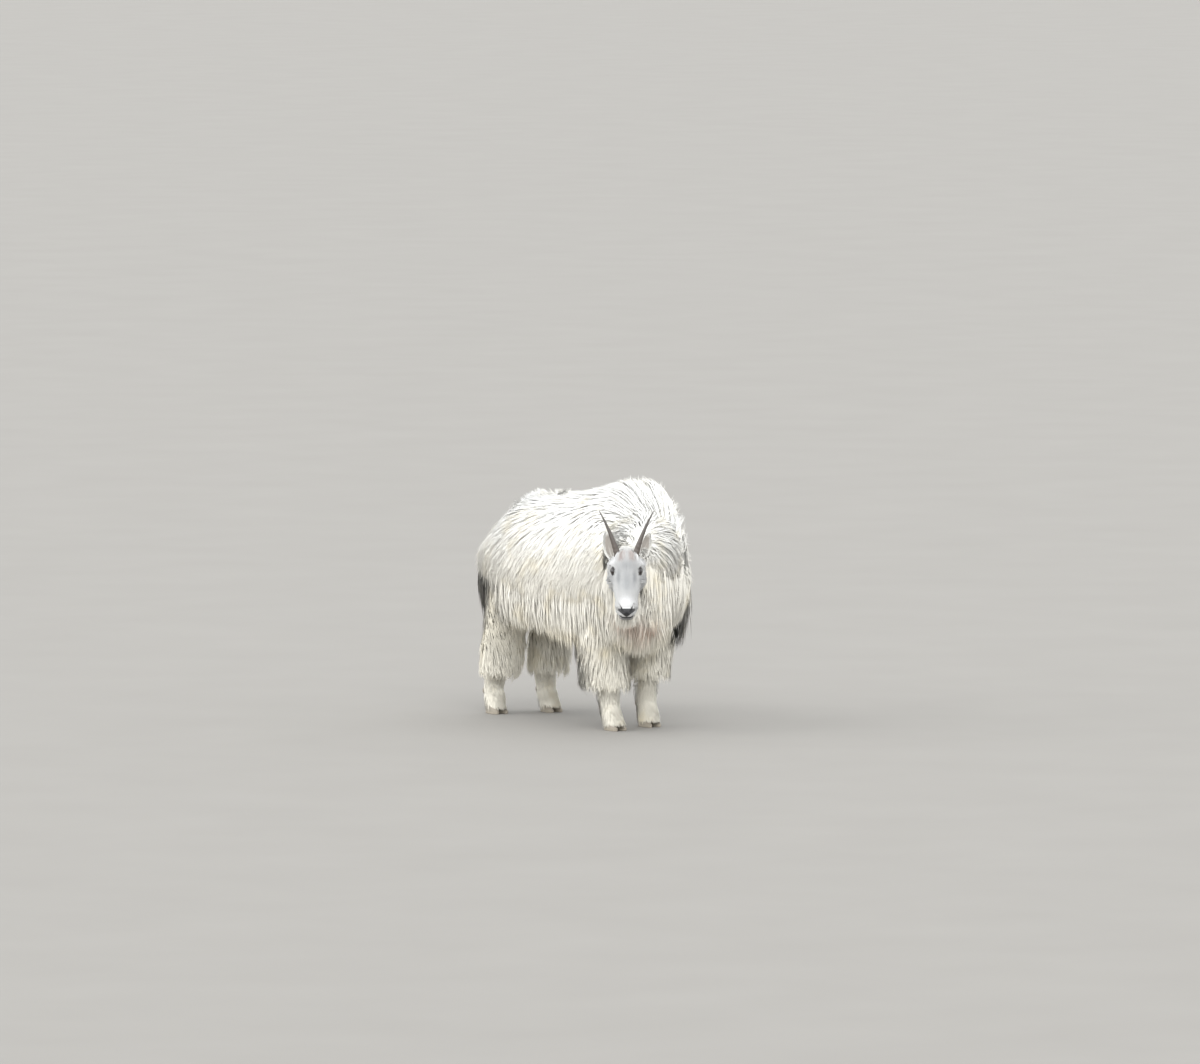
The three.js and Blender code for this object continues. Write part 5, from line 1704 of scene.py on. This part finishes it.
def relief(tree: Tree, height: Socket, distance: float, strength: float, **inputs) -> Socket:
    """The normal of a bumped surface."""
    inputs = {"Height": height, "Distance": distance, "Strength": strength, **inputs}
    return add(tree, "ShaderNodeBump", inputs).outputs[0]


@dataclass(frozen=True)
class Finish:
    """What every finish has: a name, its gloss, and a material made by its own nodes."""

    name: str
    roughness: float
    ior: float = 1.5
    sheen: float = 0.0

    def dress(self, tree: Tree) -> dict:
        """Adds this finish's nodes and returns the inputs that they give the shader."""
        raise NotImplementedError

    def material(self) -> bpy.types.Material:
        """The material, whose constants sit on the shader's own sockets."""
        made = bpy.data.materials.new(self.name)
        made.use_nodes = True
        tree = made.node_tree
        tree.nodes.clear()
        inputs = {"Roughness": self.roughness, "IOR": self.ior, "Sheen Weight": self.sheen}
        inputs.update(self.dress(tree))
        shader = add(tree, "ShaderNodeBsdfPrincipled", inputs)
        add(tree, "ShaderNodeOutputMaterial", {"Surface": shader.outputs[0]})
        return made


@dataclass(frozen=True)
class HairFinish(Finish):
    """Long hollow winter hair: matt, a little sheen, in strands finer than a tuft.

    The strands are streaks along each tuft, wide enough to show, and stains drift over the coat.
    """

    strands: float = 7.0
    along: float = 45.0
    streak: float = 0.08
    stain: str = "#F1E7CD"
    stain_size: float = 0.09
    stain_from: Pair = (0.5, 0.72)
    bump: float = 0.0004

    def dress(self, tree: Tree) -> dict:
        """Tint by place, streaked along each tuft and drifting in tone over the body."""
        along = add(tree, "ShaderNodeUVMap", uv_map=HAIR_MAP).outputs[0]
        strands = noise(tree, scaled(tree, along, (self.strands, self.along, 1)), 2.0,
                        noise_dimensions="2D")
        drift = noise(tree, place_in(tree), 3.0, scale=1 / self.stain_size)
        share = ranged(tree, drift, self.stain_from, (0.0, 0.5))
        stained = mixed(tree, share, attribute(tree, TINT, "Color"), rgba(self.stain),
                        blend_type="MULTIPLY")
        light = ranged(tree, strands, (0.25, 0.75), (1 - self.streak, 1.0))
        return {"Base Color": darkened(tree, stained, light),
                "Normal": relief(tree, strands, self.bump, 0.5)}


@dataclass(frozen=True)
class SkinFinish(Finish):
    """Skin under short flat hair, and the moist leather of nose, lips and lids where it is bare."""

    wet: float = 0.38
    streak: float = 0.22
    hair_bump: float = 0.0007
    pebble: float = 0.0011
    leather_bump: float = 0.00035

    def dress(self, tree: Tree) -> dict:
        """Hair drawn out along the lie, and small pebbles where the skin is bare."""
        tint, bare = attribute(tree, TINT, "Color"), attribute(tree, BARE, "Fac")
        hair = noise(tree, attribute(tree, NAP, "Vector"), 3.0)
        pebbles = add(tree, "ShaderNodeTexVoronoi", {"Vector": place_in(tree),
                                                     "Scale": 1 / self.pebble}).outputs["Distance"]
        light = ranged(tree, hair, (0.3, 0.7), (1 - self.streak, 1.0))
        hair_relief = relief(tree, hair, self.hair_bump, 0.7)
        leather = product(tree, pebbles, bare)
        return {"Base Color": mixed(tree, bare, darkened(tree, tint, light), tint),
                "Roughness": ranged(tree, bare, (0.0, 1.0), (self.roughness, self.wet)),
                "Normal": relief(tree, leather, self.leather_bump, 0.6, Normal=hair_relief)}


@dataclass(frozen=True)
class EyeFinish(Finish):
    """A wet eyeball: its colours lie under a clear coat of tears."""

    def dress(self, tree: Tree) -> dict:
        """The ball's own colours, under the coat."""
        tint = attribute(tree, TINT, "Color")
        return {"Base Color": tint, "Coat Weight": 1.0, "Coat Roughness": 0.03}


@dataclass(frozen=True)
class HornFinish(Finish):
    """Horn that grows in fibres along its length: near black, dustier and greyer at the root."""

    dark: str = "#453F3B"
    dusty: str = "#857A71"
    fibre_bump: float = 0.0004

    def dress(self, tree: Tree) -> dict:
        """Fibres along the horn in colour and relief."""
        nap = attribute(tree, NAP, "Vector")
        fibres = noise(tree, nap, 5.0)
        along = add(tree, "ShaderNodeSeparateXYZ", {0: nap}).outputs[2]
        share = product(tree, ranged(tree, along, (0.0, 6.0), (0.75, 0.1)), fibres)
        return {"Base Color": mixed(tree, share, rgba(self.dark), rgba(self.dusty)),
                "Normal": relief(tree, fibres, self.fibre_bump, 0.6)}


@dataclass(frozen=True)
class HoofFinish(Finish):
    """Hoof horn: dark grey in level growth rings, worn paler at the edge of the sole."""

    dark: str = "#8A8276"
    worn: str = "#B3AA98"
    worn_to: float = 0.014
    # A growth ring's height, its relief, and how many blotches there are to a metre round it.
    ring: float = 0.0035
    ring_bump: float = 0.0006
    blotch: float = 18.0

    def dress(self, tree: Tree) -> dict:
        """Level rings in colour and relief, and a worn edge by height above the ground."""
        place = place_in(tree)
        rings = noise(tree, scaled(tree, place, (self.blotch, self.blotch, 1 / self.ring)), 3.0)
        level = add(tree, "ShaderNodeSeparateXYZ", {0: place}).outputs[2]
        edge = ranged(tree, level, (0.0, self.worn_to), (1.1, 0.25))
        share = product(tree, edge, rings, use_clamp=True)
        return {"Base Color": mixed(tree, share, rgba(self.dark), rgba(self.worn)),
                "Normal": relief(tree, rings, self.ring_bump, 0.6)}


@dataclass(frozen=True)
class FloorFinish(Finish):
    """Pale matt paint on a smooth screed, a little uneven in tone."""

    pale: str = "#95928D"
    shade: str = "#8F8C87"

    def dress(self, tree: Tree) -> dict:
        """Two tones that drift into each other over about half a metre."""
        drift = noise(tree, place_in(tree), 2.0, scale=2.0)
        return {"Base Color": mixed(tree, drift, rgba(self.pale), rgba(self.shade))}


@dataclass(frozen=True)
class Stage:
    """The pale floor, the soft light and the camera."""

    # The way the camera looks, its lens, and the point of her own frame in the picture's middle.
    azimuth: float = math.radians(-36)
    elevation: float = math.radians(5)
    lens: float = 300.0
    sensor: float = 36.0
    distance: float = 37.0
    aim: Triple = (-0.1229, -0.3261, 0.7355)
    floor_size: float = 400.0
    sky: str = "#EEF0F2"
    sky_strength: float = 1.55
    sun_angle: float = math.radians(50)
    # Each sun's strength, its height and its turn: one from the camera and one from its left.
    suns: tuple[Triple, ...] = (
        (1.5, math.radians(36), math.radians(-30)),
        (1.2, math.radians(28), math.radians(-112)),
    )

    def build(self) -> None:
        """Makes floor, sky, suns and camera."""
        half = self.floor_size / 2
        corners = np.array([[-half, -half, 0], [half, -half, 0], [half, half, 0], [-half, half, 0]])
        floor = Shape(corners, (np.array([[0, 1, 2, 3]]),)).build("floor")
        floor.data.materials.append(FloorFinish("pale matt floor paint", 0.9).material())
        world = bpy.data.worlds.new("studio")
        world.use_nodes = True
        world.node_tree.nodes.clear()
        sky = add(world.node_tree, "ShaderNodeBackground", {"Color": rgba(self.sky),
                                                            "Strength": self.sky_strength})
        add(world.node_tree, "ShaderNodeOutputWorld", {"Surface": sky.outputs[0]})
        bpy.context.scene.world = world
        for strength, height, turn in self.suns:
            lamp = bpy.data.lights.new("soft sun", "SUN")
            lamp.energy = strength
            lamp.angle = self.sun_angle
            new_object("soft sun", lamp).rotation_euler = (math.pi / 2 - height, 0, turn)
        lens = bpy.data.cameras.new("camera")
        lens.lens = self.lens
        lens.sensor_width = self.sensor
        lens.clip_end = 1000.0
        camera = new_object("camera", lens)
        a, e = self.azimuth, self.elevation
        back = np.array([math.sin(a) * math.cos(e), -math.cos(a) * math.cos(e), math.sin(e)])
        camera.location = np.array(self.aim) + ORIGIN + back * self.distance
        camera.rotation_euler = (math.pi / 2 - e, 0, a)
        bpy.context.scene.camera = camera
        bpy.context.scene.view_settings.view_transform = "Standard"


def finished(made: Object, material: bpy.types.Material) -> None:
    """Gives a piece its material and its body, and reports it."""
    made.data.materials.clear()
    made.data.materials.append(material)
    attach(made, BODY)
    LOG.info("%s: %d faces", made.name, len(made.data.polygons))


def main() -> None:
    """Builds the goat piece by piece."""
    logging.basicConfig(level=logging.INFO, format="%(message)s")
    Stage().build()
    hair = HairFinish("long winter hair", 0.72, sheen=0.25).material()
    short = HairFinish("short face hair", 0.75, sheen=0.2, strands=3.0, streak=0.10,
                       stain="#E4E6E8").material()
    skin = Skin().build()
    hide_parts("torso", "neck", "head", "tail", "ear_left", "ear_right",
                *LEGS, *(f"cannon_{name}" for name in LEGS))
    finished(skin, SkinFinish("short hair over skin", 0.82, sheen=0.2).material())
    for coat in coats():
        finished(coat.build(), short if coat.slot == "face" else hair)
    wet = EyeFinish("wet eye", 0.2, ior=1.38).material()
    horn = HornFinish("grown horn", 0.42, ior=1.54).material()
    hoof = HoofFinish("hoof horn", 0.6, ior=1.54).material()
    for side in Side:
        finished(Eyeball(side).build(), wet)
        finished(Horn(side).build(), horn)
    for name, leg in LEGS.items():
        for piece in Hoof(name, leg).build():
            finished(piece, hoof)


if __name__ == "__main__":
    main()
